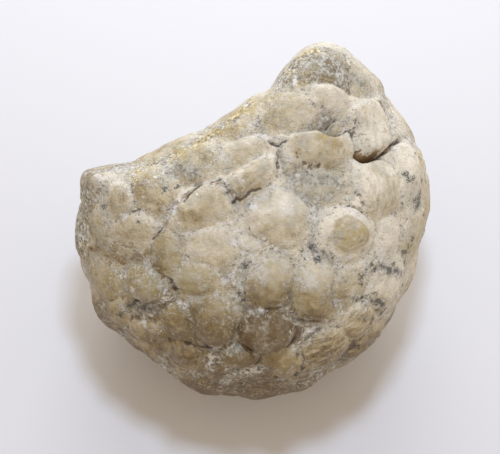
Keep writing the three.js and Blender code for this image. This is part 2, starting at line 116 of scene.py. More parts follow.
# The plates of the display face: middle, half length and width, turn of the length in degrees, bulge,
# lift and looks. The looks are how brown the plate is from 0 (cream) to 1, how much browner its middle
# is than its edge, how olive it is, how frosted with white its upper side is, partly as painted highlight,
# how rough it is with matrix, how gritty its grain is, how strongly it is striated along its length, and
# whether it shows rings or is a flat slab.
FACE_PLATES = {
    "rim_west": ([-12.1, 5.9], [3.1, 2.2], 112, 0.61, 0, dict(grit=0.8, tone=0.59, core=0.12, olive=0.2)),
    "west_inner": ([-16.2, 4.2], [2.0, 1.5], 80, 0.54, 0, dict(grit=0.8, tone=0.32, core=0.15, olive=0.5)),
    "west_low": ([-14.2, 0.5], [2.5, 1.8], 10, 0.61, 0, dict(grit=0.8, tone=0.32, core=0.1, olive=0.4)),
    "west_edge": ([-18.6, 1.1], [2.1, 1.2], 95, 0.54, 0, dict(grit=0.8, rough=0.4, olive=0.9)),
    "rim_mid": ([-7.5, 8.8], [2.6, 2.3], 20, 0.41, -0.1, dict(tone=0.6)),
    "rim_east": ([-1.6, 10.0], [3.3, 1.5], 25, 0.41, -0.1, dict(tone=0.42, frost_and_highlight=0.3)),
    "spindle": ([-0.3, 6.6], [3.4, 1.5], 42, 1.08, 0.15, dict(tone=0.3, core=0.15, frost_and_highlight=0.4, stripe=0.4)),
    "shield_west": ([-6.1, 3.3], [3.2, 2.6], 15, 0.68, 0.15,
        dict(grit=0.0, tone=0.48, core=0.12, frost_and_highlight=0.3)),
    "wedge_west": ([-10.4, -2.2], [2.6, 1.8], 100, 0.68, 0, dict(tone=0.73, olive=0.6, frost_and_highlight=0.1)),
    "pearl": ([-12.6, -6.0], [2.7, 2.0], -5, 1.4, 0.1,
        dict(grit=0.8, tone=0.7, core=0.1, olive=1.0, frost_and_highlight=0.2)),
    "edge_south_west": ([-17.8, -5.6], [2.8, 1.5], 110, 0.68, 0, dict(grit=0.8, tone=0.66, olive=0.8)),
    "broad_west": ([-5.1, -1.4], [3.1, 2.6], 30, 0.54, 0.1, dict(grit=0.2, tone=0.36, frost_and_highlight=0.4)),
    "broad_east": ([3.1, 2.1], [3.5, 3.2], -40, 0.88, 0.15, dict(grit=0.0, tone=0.29, frost_and_highlight=0.7)),
    "small_mid": ([-0.8, -0.9], [1.3, 0.9], -30, 0.27, -0.1, dict(tone=0.3, frost_and_highlight=0.8)),
    "olive_west": ([-6.7, -5.2], [2.5, 2.2], 0, 0.68, 0, dict(tone=0.58, olive=1.0, frost_and_highlight=0.2)),
    "boss_south_west": ([-4.9, -10.1], [3.1, 2.6], 100, 1.6, 0.2,
        dict(grit=0.2, tone=0.9, core=0.05, olive=0.5)),
    "split": ([-9.1, -10.6], [2.4, 2.0], -20, 0.81, 0, dict(tone=0.85, olive=0.5)),
    "boss_mid": ([1.8, -5.6], [2.9, 2.6], 80, 1.35, 0.1, dict(grit=0.0, tone=0.78, olive=0.5, frost_and_highlight=0.9)),
    "boss_south": ([1.1, -11.2], [3.1, 2.5], 0, 1.6, 0.15, dict(grit=0.0, tone=1.3, stripe=0.5)),
    "boss_east": ([7.2, -6.5], [3.2, 2.5], 100, 1.3, 0.1, dict(grit=0.2, tone=0.64, olive=0.4, frost_and_highlight=0.9)),
    "target": ([10.7, 0.1], [3.3, 2.9], 0, 1.08, 0.15, dict(rings=1.0, tone=0.0, core=0.5, olive=0.8)),
    "striated_east": ([14.7, 5.6], [3.7, 2.6], 100, 1.08, 0.1,
        dict(grit=0.1, tone=0.2, core=0.05, stripe=0.8)),
    "tongue": ([13.4, 11.9], [2.9, 1.75], 96, 1.0, 0.5,
        dict(grit=0.1, tone=-0.05, slab=True, stripe=1.0, olive=0.0)),
    "broken_cap": ([7.7, 10.1], [3.6, 1.8], 0, 0.7, 0.4, dict(grit=0.1, tone=0.3, slab=True, olive=0.2)),
    "sunken": ([8.1, 5.8], [3.3, 2.0], 0, 0.2, -0.4, dict(rough=0.5)),
    "brow": ([8.9, 16.0], [2.5, 1.5], 0, 0.68, 0.3, dict(grit=0.1, tone=0.18, frost_and_highlight=0.3)),
    "pit_above_cap": ([8.9, 13.1], [1.5, 1.1], 20, 0, -0.5, dict(rough=0.8)),
    "east_upper": ([16.9, 13.7], [3.2, 1.4], 115, 0.5, 0.1,
        dict(grit=0.0, tone=0.34, stripe=0.4, olive=0.0)),
    "east_edge": ([18.6, 6.7], [4.0, 1.8], 90, 0.61, 0, dict(tone=0.1, olive=0.1)),
    "oval_south": ([-1.9, -14.2], [2.2, 1.5], -5, 1.2, 0, dict(grit=0.2, tone=1.3, olive=0.5)),
    "bean_south": ([3.3, -15.2], [2.4, 1.5], 5, 1.2, 0, dict(grit=0.0, tone=0.62, frost_and_highlight=0.4)),
    "striated_south": ([8.5, -13.2], [3.3, 1.8], 20, 0.81, 0, dict(grit=1.0, tone=0.62, stripe=1.0)),
    "small_south": ([6.6, -17.1], [1.6, 1.1], 25, 0.4, 0, dict(tone=0.65)),
    "small_south_west": ([-8.5, -14.0], [1.9, 1.3], -10, 0.68, 0, dict(tone=0.75)),
    "edge_south": ([-12.6, -12.1], [2.6, 1.4], -35, 0.68, 0, dict(tone=0.72)),
    "speckled": ([11.4, -6.1], [2.4, 2.1], 0, 0.54, 0, dict(grit=1.0, tone=0.44, rough=0.3, frost_and_highlight=0.3)),
    "striated_south_east": ([12.4, -10.2], [3.1, 1.5], 45, 0.81, 0, dict(grit=1.0, tone=0.48, stripe=1.0)),
    "edge_east_low": ([15.6, -5.9], [3.5, 1.8], 75, 0.54, 0, dict(grit=1.0, tone=0.12, stripe=0.4)),
    "cream_east": ([15.5, -0.4], [2.4, 1.6], 60, 0.54, 0, dict(grit=1.0, tone=-0.02, stripe=0.3)),
    "edge_west_low": ([-16.5, -9.4], [2.1, 1.4], -50, 0.68, 0, dict(tone=0.68, olive=0.5)),
    "hollow_west": ([-13.9, -9.2], [1.9, 1.1], -15, 0, -0.4, dict(grit=1.0, tone=0.95, rough=0.7)),
    "rough_south": ([-5.1, -16.1], [2.1, 1.6], 0, 0.14, -0.3, dict(grit=1.0, tone=0.85, rough=0.35)),
    "rough_south_east": ([-0.6, -17.1], [2.6, 1.1], 0, 0.14, -0.3, dict(grit=1.0, tone=0.85, rough=0.35)),
    "crown": ([8.8, 20.0], [3.8, 2.6], -15, 0.34, 0.1,
        dict(grit=0.8, tone=0.88, rough=0.8, olive=0.4, stripe=1.0)),
    "crown_east": ([12.1, 18.6], [2.3, 1.2], 125, 0.2, 0, dict(tone=0.45, rough=0.3)),
    "mottled": ([3.5, 14.7], [3.8, 1.9], 15, 0.27, -0.15, dict(tone=0.46, rough=0.4, olive=0.4)),
    "strip": ([-19.9, 4.1], [3.5, 0.9], 85, 0.14, -0.1, dict(tone=0.9, rough=0.8, olive=0.8)),
    "knob": ([-18.8, 6.7], [0.9, 0.6], 20, 0.54, 0.1, dict(tone=0.2)),
}

DEFAULT_LOOKS = dict(
    tone=0.5, core=0.0, olive=0.3, frost_and_highlight=0.0, rough=0.0, grit=0.4, stripe=0.0, rings=0.0, slab=False
)

# Rings of plates round the stem scar: count, distance from its axis, half width, bulge and phase.
BASE_RINGS = [(5, 5.6, 2.7, 0.7, 0.3), (10, 11.0, 3.1, 0.6, 0.1)]

# Cracks and broken edges that the solid has too, some of them drawn up to 0.3 mm higher here: a run of
# points on the display face, as x, y, x, y and so on, then half width and depth.
OPEN_CRACKS = {
    "gap_below_tongue": ([11.6, 10.3, 12.0, 9.4, 12.7, 8.9, 14.2, 9.2, 15.4, 9.9, 15.9, 10.7], 0.3, 1.7),
    "east_crack": ([15.9, 10.7, 17.4, 11.3], 0.35, 0.5),
    "step_below_cap": ([5.0, 9.1, 6.0, 8.5, 7.9, 8.4, 9.4, 8.4, 11.2, 9.0], 0.5, 0.5),
    "break_above_cap": ([5.8, 12.7, 7.6, 13.2, 9.0, 11.8, 10.9, 12.7], 0.6, 0.7),
    "west_crack": ([-6.7, 5.8, -9.4, 3.8, -10.4, 2.0, -12.0, -0.6], 0.5, 0.12),
    "crevice_below_spindle": ([-2.6, 3.9, -1.2, 4.1, 0.4, 5.3], 0.5, 0.3),
}

# --- Unevenness and noise ---


def smoothstep(value, low, high):
    share = np.clip((value - low) / (high - low), 0, 1)
    return share * share * (3 - 2 * share)


def bell(value, width):
    """1 where the value is 0, fading to 0 at about twice this width from it."""
    return np.exp(-((value / width) ** 2))


def normalised(vectors):
    return vectors / np.linalg.norm(vectors, axis=-1, keepdims=True)


def spread_directions(count):
    """Directions spread evenly over a sphere, from +z down to -z."""
    index = np.arange(count)
    z = 1 - (2 * index + 1) / count
    turn = index * math.pi * (3 - math.sqrt(5))
    across = np.sqrt(1 - z * z)
    return np.stack([across * np.cos(turn), across * np.sin(turn), z], axis=1)


def unevenness(points, wavelength, seed):
    """A smooth value from about -1 to 1: plane waves that cross each other, as in the solid."""
    total = np.zeros(len(points))
    for i, direction in enumerate(spread_directions(WAVE_COUNT)):
        stretch = 0.75 + 0.5 * i / (WAVE_COUNT - 1)
        total += np.sin(2 * math.pi * stretch * (points @ direction) / wavelength + seed * (i + 1.7))
    return total * 1.6 / WAVE_COUNT


def cell_numbers(cells, seed):
    """Three even random numbers from 0 to 1 for each cube of a grid, always the same ones."""
    x, y, z = cells.astype(np.int64).astype(np.uint64).T
    mixed = x * np.uint64(73856093) ^ y * np.uint64(19349663) ^ z * np.uint64(83492791)
    mixed ^= np.uint64(seed * 2654435761 % 2**32)
    numbers = []
    for _ in range(3):
        mixed = (mixed ^ (mixed >> np.uint64(15))) * np.uint64(2246822519) & np.uint64(0xFFFFFFFF)
        mixed = (mixed ^ (mixed >> np.uint64(13))) * np.uint64(3266489917) & np.uint64(0xFFFFFFFF)
        numbers.append((mixed & np.uint64(0xFFFFFF)).astype(float) / 0xFFFFFF)
    return np.stack(numbers, axis=1)


def noise(points, size, seed):
    """Gradient noise from about -1 to 1, with lumps of about this size."""
    scaled = points / size
    low = np.floor(scaled)
    inside = scaled - low
    fade = inside**3 * (inside * (inside * 6 - 15) + 10)
    total = np.zeros(len(points))
    for corner in np.ndindex(2, 2, 2):
        corner = np.array(corner)
        numbers = cell_numbers(low + corner, seed)
        height = 2 * numbers[:, 0] - 1
        turn = 2 * math.pi * numbers[:, 1]
        across = np.sqrt(1 - height**2)
        gradient = np.stack([across * np.cos(turn), across * np.sin(turn), height], axis=1)
        weight = np.prod(np.where(corner == 1, fade, 1 - fade), axis=1)
        total += weight * np.sum(gradient * (inside - corner), axis=1)
    return total * 1.6


def fractal(points, size, octaves, seed):
    """Noise with finer lumps on its lumps, each layer half as large and half as strong."""
    total = np.zeros(len(points))
    for layer in range(octaves):
        total += noise(points, size / 2**layer, seed + layer) / 2**layer
    return total


def pit_distance(points, size, seed):
    """How far each point is from the nearest of the random pits, one in each cube of this size."""
    scaled = points / size
    low = np.floor(scaled)
    least = np.full(len(points), np.inf)
    for step in np.ndindex(3, 3, 3):
        cells = low + np.array(step) - 1
        centres = cells + cell_numbers(cells, seed)
        least = np.minimum(least, np.linalg.norm(scaled - centres, axis=1))
    return least


def shake(points, depth, size, layers, seed):
    """Random moves of up to about this depth, which make an edge ragged."""
    return depth * np.stack([fractal(points, size, layers, seed + i) for i in (0, 10, 20)], axis=1)


# --- The smooth body, as in the solid ---

outline_angles = np.arctan2(OUTLINE[:, 1], OUTLINE[:, 0])
outline_order = np.argsort(outline_angles)
knot_angles = outline_angles[outline_order]
knot_radii = np.hypot(OUTLINE[:, 0], OUTLINE[:, 1])[outline_order]
# Two knots more at each end, so that the curve closes.
knot_angles = np.concatenate([knot_angles[-2:] - 2 * math.pi, knot_angles, knot_angles[:2] + 2 * math.pi])
knot_radii = np.concatenate([knot_radii[-2:], knot_radii, knot_radii[:2]])
knot_slopes = np.gradient(knot_radii)
knot_slopes[1:-1] = (knot_radii[2:] - knot_radii[:-2]) / (knot_angles[2:] - knot_angles[:-2])


def outline_radius(angles):
    angles = (angles + math.pi) % (2 * math.pi) - math.pi
    index = np.searchsorted(knot_angles, angles, side="right") - 1
    span = knot_angles[index + 1] - knot_angles[index]
    t = (angles - knot_angles[index]) / span
    return (
        knot_radii[index] * (1 + 2 * t) * (1 - t) ** 2
        + knot_slopes[index] * span * t * (1 - t) ** 2
        + knot_radii[index + 1] * t * t * (3 - 2 * t)
        - knot_slopes[index + 1] * span * t * t * (1 - t)
    )


def rounded_outline_radius(angles):
    turns = CORNER_ROUNDING * np.linspace(-1, 1, 7)
    return np.mean([outline_radius(angles + turn) for turn in turns], axis=0)


def base_share(angles):
    return smoothstep(np.cos(angles - BASE_SIDE), 0.3, 0.75)


def body_radius(directions):
    """The distance from the middle to the smooth body along each direction."""
    angles = np.arctan2(directions[:, 1], directions[:, 0])
    across = np.hypot(directions[:, 0], directions[:, 1])
    share = base_share(angles)
    rim = BASE_RIM_RISE * share
    power = FACE_ROUNDNESS + (BASE_ROUNDNESS - FACE_ROUNDNESS) * share
    sharp = outline_radius(angles)
    even = rounded_outline_radius(angles)
    draft = BASE_DRAFT * share / np.maximum(np.cos(angles - BASE_SIDE), 0.5)
    near = np.full(len(directions), LEAST_RADIUS)
    far = np.full(len(directions), MOST_RADIUS)
    for _ in range(HALVINGS):
        middle = (near + far) / 2
        z = directions[:, 2] * middle
        depth = np.where(z > rim, FRONT_DEPTH - rim, BACK_DEPTH + rim)
        rounding = smoothstep(rim - z, 1, CORNER_ROUNDING_DEPTH)
        radius = (sharp + (even - sharp) * rounding) * (1 + share) ** (1 / RIM_SHARPNESS)
        shell = ((across * middle / radius) ** power + (np.abs(z - rim) / depth) ** power) ** (1 / power)
        face_radius = np.maximum(radius - np.maximum(rim - z, 0) * draft, 1)
        face = across * middle / face_radius
        level = (shell**RIM_SHARPNESS + share * face**RIM_SHARPNESS) ** (1 / RIM_SHARPNESS)
        inside = level < 1
        near = np.where(inside, middle, near)
        far = np.where(inside, far, middle)
    return (near + far) / 2


def body_points(directions):
    return directions * body_radius(directions)[:, None]


def body_normals(directions):
    step = 0.02
    sideways = np.where(np.abs(directions[:, 2:]) > 0.9, [[1.0, 0, 0]], [[0, 0, 1.0]])
    right = normalised(np.cross(sideways, directions))
    up = np.cross(directions, right)
    middle = body_points(directions)
    to_right = body_points(normalised(directions + right * step)) - middle
    to_up = body_points(normalised(directions + up * step)) - middle
    return normalised(np.cross(to_right, to_up))


def as_seen(points):
    """x and y of these points as they look from in front, where what is nearer looks larger."""
    return points[:, :2] / (1 - points[:, 2:] / VIEW_DISTANCE)


def directions_on_face(places):
    """The directions of the body points that are seen at these x, y on the display face."""
    angles = np.arctan2(places[:, 1], places[:, 0])
    wanted = np.hypot(places[:, 0], places[:, 1])
    low = np.arctan2(BASE_RIM_RISE * base_share(angles), outline_radius(angles))
    high = np.full(len(places), math.pi / 2)

    def directions_at(rise):
        across = np.cos(rise)
        return np.stack([across * np.cos(angles), across * np.sin(angles), np.sin(rise)], axis=1)

    for _ in range(HALVINGS):
        middle = (low + high) / 2
        outside = np.linalg.norm(as_seen(body_points(directions_at(middle))), axis=1) > wanted
        low = np.where(outside, middle, low)
        high = np.where(outside, high, middle)
    return directions_at((low + high) / 2)


# --- The plates ---

base_axis = np.array([
    math.cos(BASE_SIDE) * math.cos(BASE_TILT),
    math.sin(BASE_SIDE) * math.cos(BASE_TILT),
    -math.sin(BASE_TILT),
])
base_towards_face = normalised(np.array([0, 0, 1]) - base_axis * base_axis[2])
base_sideways = np.cross(base_axis, base_towards_face)
base_distance = body_radius(base_axis[None])[0]


def directions_round_base(angles, distance):
    return normalised(
        base_axis * base_distance
        + np.outer(np.cos(angles) * distance, base_towards_face)
        + np.outer(np.sin(angles) * distance, base_sideways)
    )


arm_lobes = directions_round_base(ARM_LOBE_ANGLES, ARM_LOBE_DISTANCE)


def make_plate(direction, half, turn, bulge, lift, seen_flat, looks):
    """One plate with its frame on the surface, as in the solid, and what it looks like."""
    middle = body_points(direction[None])[0]
    normal = body_normals(direction[None])[0]
    long = np.array([math.cos(turn), math.sin(turn), 0])
    long = normalised(long - normal * (long @ normal))
    wide = np.cross(normal, long)
    stretch = [1 / max(math.hypot(axis[0], axis[1]), 0.5) if seen_flat else 1 for axis in (long, wide)]
    return {
        "middle": middle,
        "normal": normal,
        "long": long,
        "wide": wide,
        "half_long": half[0] * stretch[0],
        "half_wide": half[1] * stretch[1],
        "bulge": bulge,
        "lift": lift,
        "seen_y": as_seen(middle[None])[0, 1],
        **DEFAULT_LOOKS,
        **looks,
    }


def make_plates():
    face_directions = directions_on_face(np.array([plate[0] for plate in FACE_PLATES.values()]))
    plates = []
    for direction, (_, half, turn, bulge, lift, looks) in zip(face_directions, FACE_PLATES.values()):
        plates.append(make_plate(direction, half, math.radians(turn), bulge, lift, True, looks))
    for count, distance, half, bulge, phase in BASE_RINGS:
        angles = 2 * math.pi * (np.arange(count) + phase) / count
        for i, direction in enumerate(directions_round_base(angles, distance)):
            looks = {"tone": 0.45 + 0.2 * math.sin(i * 2.1), "rough": 0.25 + 0.2 * math.sin(i * 3.3)}
            plates.append(make_plate(direction, [half, half], 0, bulge, 0, False, looks))
    tries = spread_directions(HIDDEN_PLATE_TRIES)
    for i, (direction, middle) in enumerate(zip(tries, body_points(tries))):
        has_room = all(
            np.linalg.norm(middle - plate["middle"])
            > HIDDEN_PLATE_ROOM * (math.sqrt(plate["half_long"] * plate["half_wide"]) + HIDDEN_PLATE_REACH)
            for plate in plates
        )
        height = middle @ base_axis
        in_stem_scar = height > 0 and np.linalg.norm(middle - base_axis * height) < STEM_SCAR_REACH
        if not has_room or in_stem_scar:
            continue
        reach = HIDDEN_PLATE_REACH * (1 + 0.14 * math.sin(i * 2.4))
        flatness = BASE_PLATE_FLATNESS if direction @ base_axis > 0.45 else 1
        bulge = HIDDEN_PLATE_BULGE * flatness * (1 + 0.35 * math.sin(i * 1.3))
        looks = {
            # Lower plates are browner: partly browner stone, partly painted shade.
            "tone": 0.4 + 0.15 * math.sin(i * 1.9) + 0.35 * float(smoothstep(-middle[1], 4, 15)),
            "core": 0.15 + 0.15 * math.sin(i * 2.7),
            "rough": max(0.5 * math.sin(i * 0.9), 0),
            "stripe": max(0.9 * math.sin(i * 3.1), 0),
        }
        plates.append(make_plate(direction, [reach * 1.08, reach * 0.94], i * 0.7, bulge, 0, False, looks))
    return plates


PLATES = make_plates()


def plate_fields(points):
    """For each point its plate's number, how far out it is (0 in the middle, 1 on the suture), its place
    along and beside the plate in millimetres, the lift of the plates round it, and 1 in a gap between
    plates."""
    nearest = np.full(len(points), np.inf)
    second = np.full(len(points), np.inf)
    owner = np.zeros(len(points), int)
    along_owner = np.zeros(len(points))
    beside_owner = np.zeros(len(points))
    lift_sum = np.zeros(len(points))
    weight_sum = np.full(len(points), 1e-9)
    for number, plate in enumerate(PLATES):
        offset = points - plate["middle"]
        along = offset @ plate["long"]
        beside = offset @ plate["wide"]
        through = offset @ plate["normal"] / HIDDEN_PLATE_REACH
        squareness = SLAB_SQUARENESS if plate["slab"] else 2
        shares = np.abs([along / plate["half_long"], beside / plate["half_wide"], through])
        distance = np.sum(shares**squareness, axis=0) ** (1 / squareness)
        weight = np.exp(-LIFT_SHARPNESS * distance**2)
        lift_sum += weight * plate["lift"]
        weight_sum += weight
        closer = distance < nearest
        second = np.where(closer, nearest, np.minimum(second, distance))
        nearest = np.where(closer, distance, nearest)
        owner = np.where(closer, number, owner)
        along_owner = np.where(closer, along, along_owner)
        beside_owner = np.where(closer, beside, beside_owner)
    # A plate ends where its neighbour begins, or at its own rounded edge where there is a gap.
    outward = np.minimum(((nearest / second) ** 6 + (nearest / PLATE_EDGE) ** 6) ** (1 / 6), 1)
    gap = smoothstep(nearest, PLATE_EDGE, PLATE_EDGE + 0.3)
    return owner, outward, along_owner, beside_owner, lift_sum / weight_sum, gap


def own_values(owner):
    """The bulge, looks and height in the picture of each point's own plate."""
    keys = ["bulge", "seen_y", *DEFAULT_LOOKS]
    return {key: np.array([plate[key] for plate in PLATES], float)[owner] for key in keys}


# --- Cracks, the hollow base and the arm lobes, as in the solid ---


def distance_to_run(run, points):
    """How far each point is from a run of points on the display face, seen from the front."""
    seen = as_seen(points)
    run = np.reshape(run, (-1, 2))
    least = np.full(len(points), np.inf)
    for start, end in zip(run[:-1], run[1:]):
        step = end - start
        offset = seen - start
        share = np.clip(offset @ step / (step @ step), 0, 1)
        least = np.minimum(least, np.linalg.norm(offset - share[:, None] * step, axis=1))
    return least


def near_run(run, half, points):
    """1 on the run, fading to 0 away from it."""
    return bell(distance_to_run(run, points), half)


def from_base_axis(points):
    """Height along the base's axis and distance from it."""
    height = points @ base_axis
    distance = np.sqrt(np.maximum(np.sum(points**2, axis=1) - height**2, 0))
    return height, distance


def base_relief(points):
    height, distance = from_base_axis(points)
    dish = -DISH_DEPTH * (1 - np.minimum(distance / DISH_RADIUS, 1) ** 2) ** 2
    facet = FACET_HEIGHT * smoothstep(FACET_RADIUS + 0.4 - distance, 0, 0.8)
    lumen = -LUMEN_DEPTH * np.exp(-((distance / LUMEN_RADIUS) ** 4))
    return np.where(height > 0, dish + facet + lumen, 0)


def plate_share(points):
    height, distance = from_base_axis(points)
    return np.where(height > 0, smoothstep(distance, FACET_RADIUS, FACET_RADIUS + 0.8), 1)


def arm_lobe_relief(directions):
    away = np.arccos(np.clip(directions @ arm_lobes.T, -1, 1))
    return ARM_LOBE_HEIGHT * np.sum(bell(away, ARM_LOBE_SPREAD), axis=1)


# --- What is too fine for the solid ---

# Narrow cracks and broken edges of the display face: run, half width and depth. Their dark colour is soil
# and painted shade, darker the deeper the crack.
FINE_CRACKS = {
    "tongue_lip": (
        [11.7, 10.0, 11.9, 9.3, 12.4, 8.8, 12.9, 8.7, 14.7, 9.2, 15.5, 9.8, 15.9, 10.6], 0.18, 1.2,
    ),
    "gap_left_end": ([12.3, 9.0, 12.6, 8.7, 13.4, 8.9], 0.3, 1.2),
    "tongue_left": ([11.5, 13.2, 11.4, 12.2, 11.5, 10.9], 0.15, 0.35),
    "east_crack_line": ([15.9, 10.7, 16.6, 10.9, 17.3, 11.3], 0.14, 0.7),
    "cap_right_edge": ([11.1, 12.5, 11.3, 11.6, 11.5, 10.2], 0.15, 0.5),
    "cap_step_line": ([4.7, 9.4, 5.0, 9.0, 5.5, 8.6, 6.6, 8.4, 7.8, 8.5], 0.14, 0.4),
    "cap_break_line": ([5.9, 12.4, 6.6, 12.2, 7.2, 12.6], 0.18, 0.4),
    "cap_dip_line": ([8.3, 12.0, 8.8, 11.7, 9.4, 11.8, 10.2, 12.3, 10.9, 12.5], 0.18, 0.5),
    "pit_line": ([8.7, 13.1, 9.2, 13.7, 9.6, 13.9], 0.16, 0.5),
    "seam_top": ([3.6, 10.8, 3.1, 10.7, 2.7, 10.4, 1.8, 10.9], 0.14, 0.5),
    "seam": ([2.4, 10.1, 2.7, 9.3, 2.5, 8.4, 2.7, 7.6, 2.4, 6.6], 0.12, 0.25),
    "cap_left_end": ([3.9, 11.6, 3.6, 10.6, 4.1, 9.5, 5.0, 8.7], 0.12, 0.2),
    "west_crack_high": ([-6.7, 5.8, -7.3, 5.2, -8.2, 3.9], 0.16, 0.45),
    "west_crack_mid": ([-9.4, 3.9, -10.3, 3.0], 0.16, 0.35),
    "west_crack_low": ([-10.5, 1.6, -11.1, 0.7, -12.0, -0.5], 0.13, 0.4),
    "west_slit": ([-14.4, 2.8, -13.6, 3.4], 0.16, 0.35),
    "west_high_slit": ([-15.0, 5.9, -14.7, 5.2], 0.14, 0.3),
    "spindle_line": ([-2.7, 3.8, -2.2, 4.4, -1.7, 4.1, -1.1, 4.4, -0.6, 5.0, 0.5, 5.4], 0.15, 0.5),
    "shield_top": ([-6.7, 5.8, -5.8, 6.1, -4.8, 6.2, -4.0, 6.6], 0.13, 0.3),
    "low_west_seam": ([-16.1, -1.2, -14.7, -1.4, -12.9, -1.5], 0.15, 0.25),
    "above_pearl": ([-15.9, -3.3, -14.7, -3.8, -13.6, -3.4], 0.25, 0.15),
    "east_of_pearl": ([-11.4, -4.3, -10.6, -4.9, -9.9, -5.3, -9.4, -6.4], 0.18, 0.3),
    "below_pearl": ([-14.6, -8.0, -13.9, -8.0, -12.8, -8.2, -11.4, -7.6], 0.3, 0.4),
    "below_boss_south_west": (
        [-8.1, -12.9, -7.1, -13.3, -5.9, -13.4, -4.9, -13.1, -4.0, -12.4], 0.22, 0.4,
    ),
    "below_boss_south": (
        [-1.4, -12.5, -0.6, -13.2, 0.8, -13.6, 2.4, -13.5, 3.5, -13.2, 4.5, -12.1], 0.2, 0.4,
    ),
    "above_boss_south": ([0.9, -8.5, 2.4, -8.6, 3.5, -8.1], 0.16, 0.15),
    "between_bosses": ([4.1, -6.2, 3.9, -7.3, 3.4, -8.2], 0.14, 0.2),
    "below_boss_east": ([4.9, -9.9, 6.1, -10.2, 7.3, -9.9], 0.2, 0.25),
    "oval_slit": ([-2.9, -15.3, -2.0, -15.2, -1.3, -15.4, -0.6, -15.3], 0.12, 0.25),
    "split_line_high": ([-10.8, -9.8, -9.3, -10.0, -7.9, -9.8], 0.1, 0.2),
    "split_line_low": ([-10.8, -10.9, -10.0, -11.4, -9.3, -12.1], 0.1, 0.2),
    "below_oval": ([-2.7, -15.6, -1.6, -16.1, -0.6, -15.6, 0.4, -15.2], 0.22, 0.35),
    "below_bean": ([1.5, -15.3, 2.0, -16.2, 3.2, -16.8, 4.7, -16.5, 5.9, -15.6], 0.2, 0.35),
    "tongue_right": ([14.2, 15.1, 15.0, 14.0, 15.5, 12.8, 15.9, 11.6, 15.9, 10.7], 0.16, 0.5),
    "east_plate_left": ([12.4, 8.8, 12.1, 7.1, 12.0, 5.1, 12.6, 3.5], 0.16, 0.25),
    "above_target": ([8.2, 2.4, 9.4, 3.3, 11.2, 3.4, 12.6, 2.7], 0.16, 0.2),
}

# A row of small pits along a seam: for each half width, their places as x, y, x, y and so on.
SEAM_PITS = {
    0.12: [2.6, 9.1],
    0.14: [2.6, 7.5],
    0.16: [2.7, 8.0, 2.5, 7.0],
    0.18: [2.5, 9.6, 2.6, 8.6],
}

# Thin pale veins that stand a little proud: run and half width.
PALE_VEINS = {
    "pale_seam": ([0.8, 11.8, 1.6, 10.9, 2.6, 10.0], 0.13),
    "pale_edge": ([6.2, -11.3, 7.4, -11.4, 8.8, -11.2], 0.15),
    "oval_rim": ([-1.4, -12.8, -0.6, -13.2, 0.1, -13.9, 0.4, -14.5], 0.12),
    "split_glint": ([-7.8, -9.6, -7.1, -10.7], 0.12),
    "cap_edge": ([9.6, 12.2, 10.9, 12.8, 11.1, 11.2], 0.16),
    "west_fill_high": ([-7.6, 5.5, -8.9, 4.4, -9.3, 3.4], 0.25),
    "west_fill_low": ([-9.6, 2.6, -10.0, 1.5], 0.25),
    "centre_vein": ([-1.9, 0.3, -1.3, -1.0, -0.6, -2.4], 0.28),
    "target_rim": ([12.6, -1.6, 13.3, 0.0, 12.9, 1.6, 11.6, 2.7], 0.2),
    "spindle_top": ([-3.1, 5.4, -1.8, 7.4, 0.3, 8.7, 1.6, 8.9], 0.14),
    "split_scratch_high": ([-10.4, -8.9, -9.2, -9.1, -8.0, -9.0], 0.12),
    "split_scratch_low": ([-10.7, -10.3, -10.1, -10.8, -9.4, -11.4], 0.12),
    "split_scratch_east": ([-8.4, -9.4, -7.5, -9.9], 0.12),
    "low_west_scratch": ([-12.0, -7.4, -11.3, -8.2], 0.14),
    "boss_south_edge": ([3.6, -9.3, 4.0, -11.0, 3.4, -12.4], 0.14),
    "boss_south_corner": ([-1.3, -9.0, -0.4, -9.6, 0.9, -9.5], 0.12),
    "bean_edge": ([3.7, -13.4, 4.9, -13.9, 5.4, -15.0], 0.12),
}

# Dark mineral specks: places by half width.
SPECKS = {
    0.2: [8.6, 7.0],
    0.23: [-0.8, 0.8],
    0.26: [
        17.8, 6.2, 18.1, 6.6, 17.6, 6.7, 18.6, 9.5, 17.2, 4.6, 12.9, -4.1, 13.1, -6.0, 13.8, -6.7,
        14.0, -3.9, 15.3, -8.6, 17.5, -2.0, 17.9, -1.2, 18.2, -0.4, 11.4, -7.4, 12.0, -7.7, 12.6, -7.4,
        6.9, -1.9, 4.9, -13.8, -14.7, 6.0, -18.1, 3.4, -14.2, -0.9, -8.8, 8.1, -11.0, 8.6, 10.4, 7.0,
    ],
    0.33: [
        17.4, 7.1, 19.0, 4.9, 19.3, 6.4, 19.9, 1.0, 15.9, -3.3, 17.6, -3.2, 17.5, -4.5, 17.3, -5.8,
        11.9, -13.2, -1.9, -6.9, -0.6, -3.2, -9.4, 5.8, -18.5, 5.3, -13.4, 1.6, -3.1, 5.0,
    ],
    0.35: [-15.6, -9.3, -12.7, -8.9],
    0.39: [19.8, 2.5, 14.8, -3.6, 16.2, -4.1, 12.2, -5.4, 12.4, -4.8, 14.7, -8.0, 6.6, -1.3, -1.4, -7.6],
    0.45: [15.4, -4.0, 14.2, -7.6, 15.1, -9.1, -1.1, -3.6, -10.5, 5.4],
    0.5: [-14.9, -8.3, -13.6, -8.7],
    0.52: [18.7, 4.1, 7.4, -2.9],
    0.59: [18.9, 3.4],
}
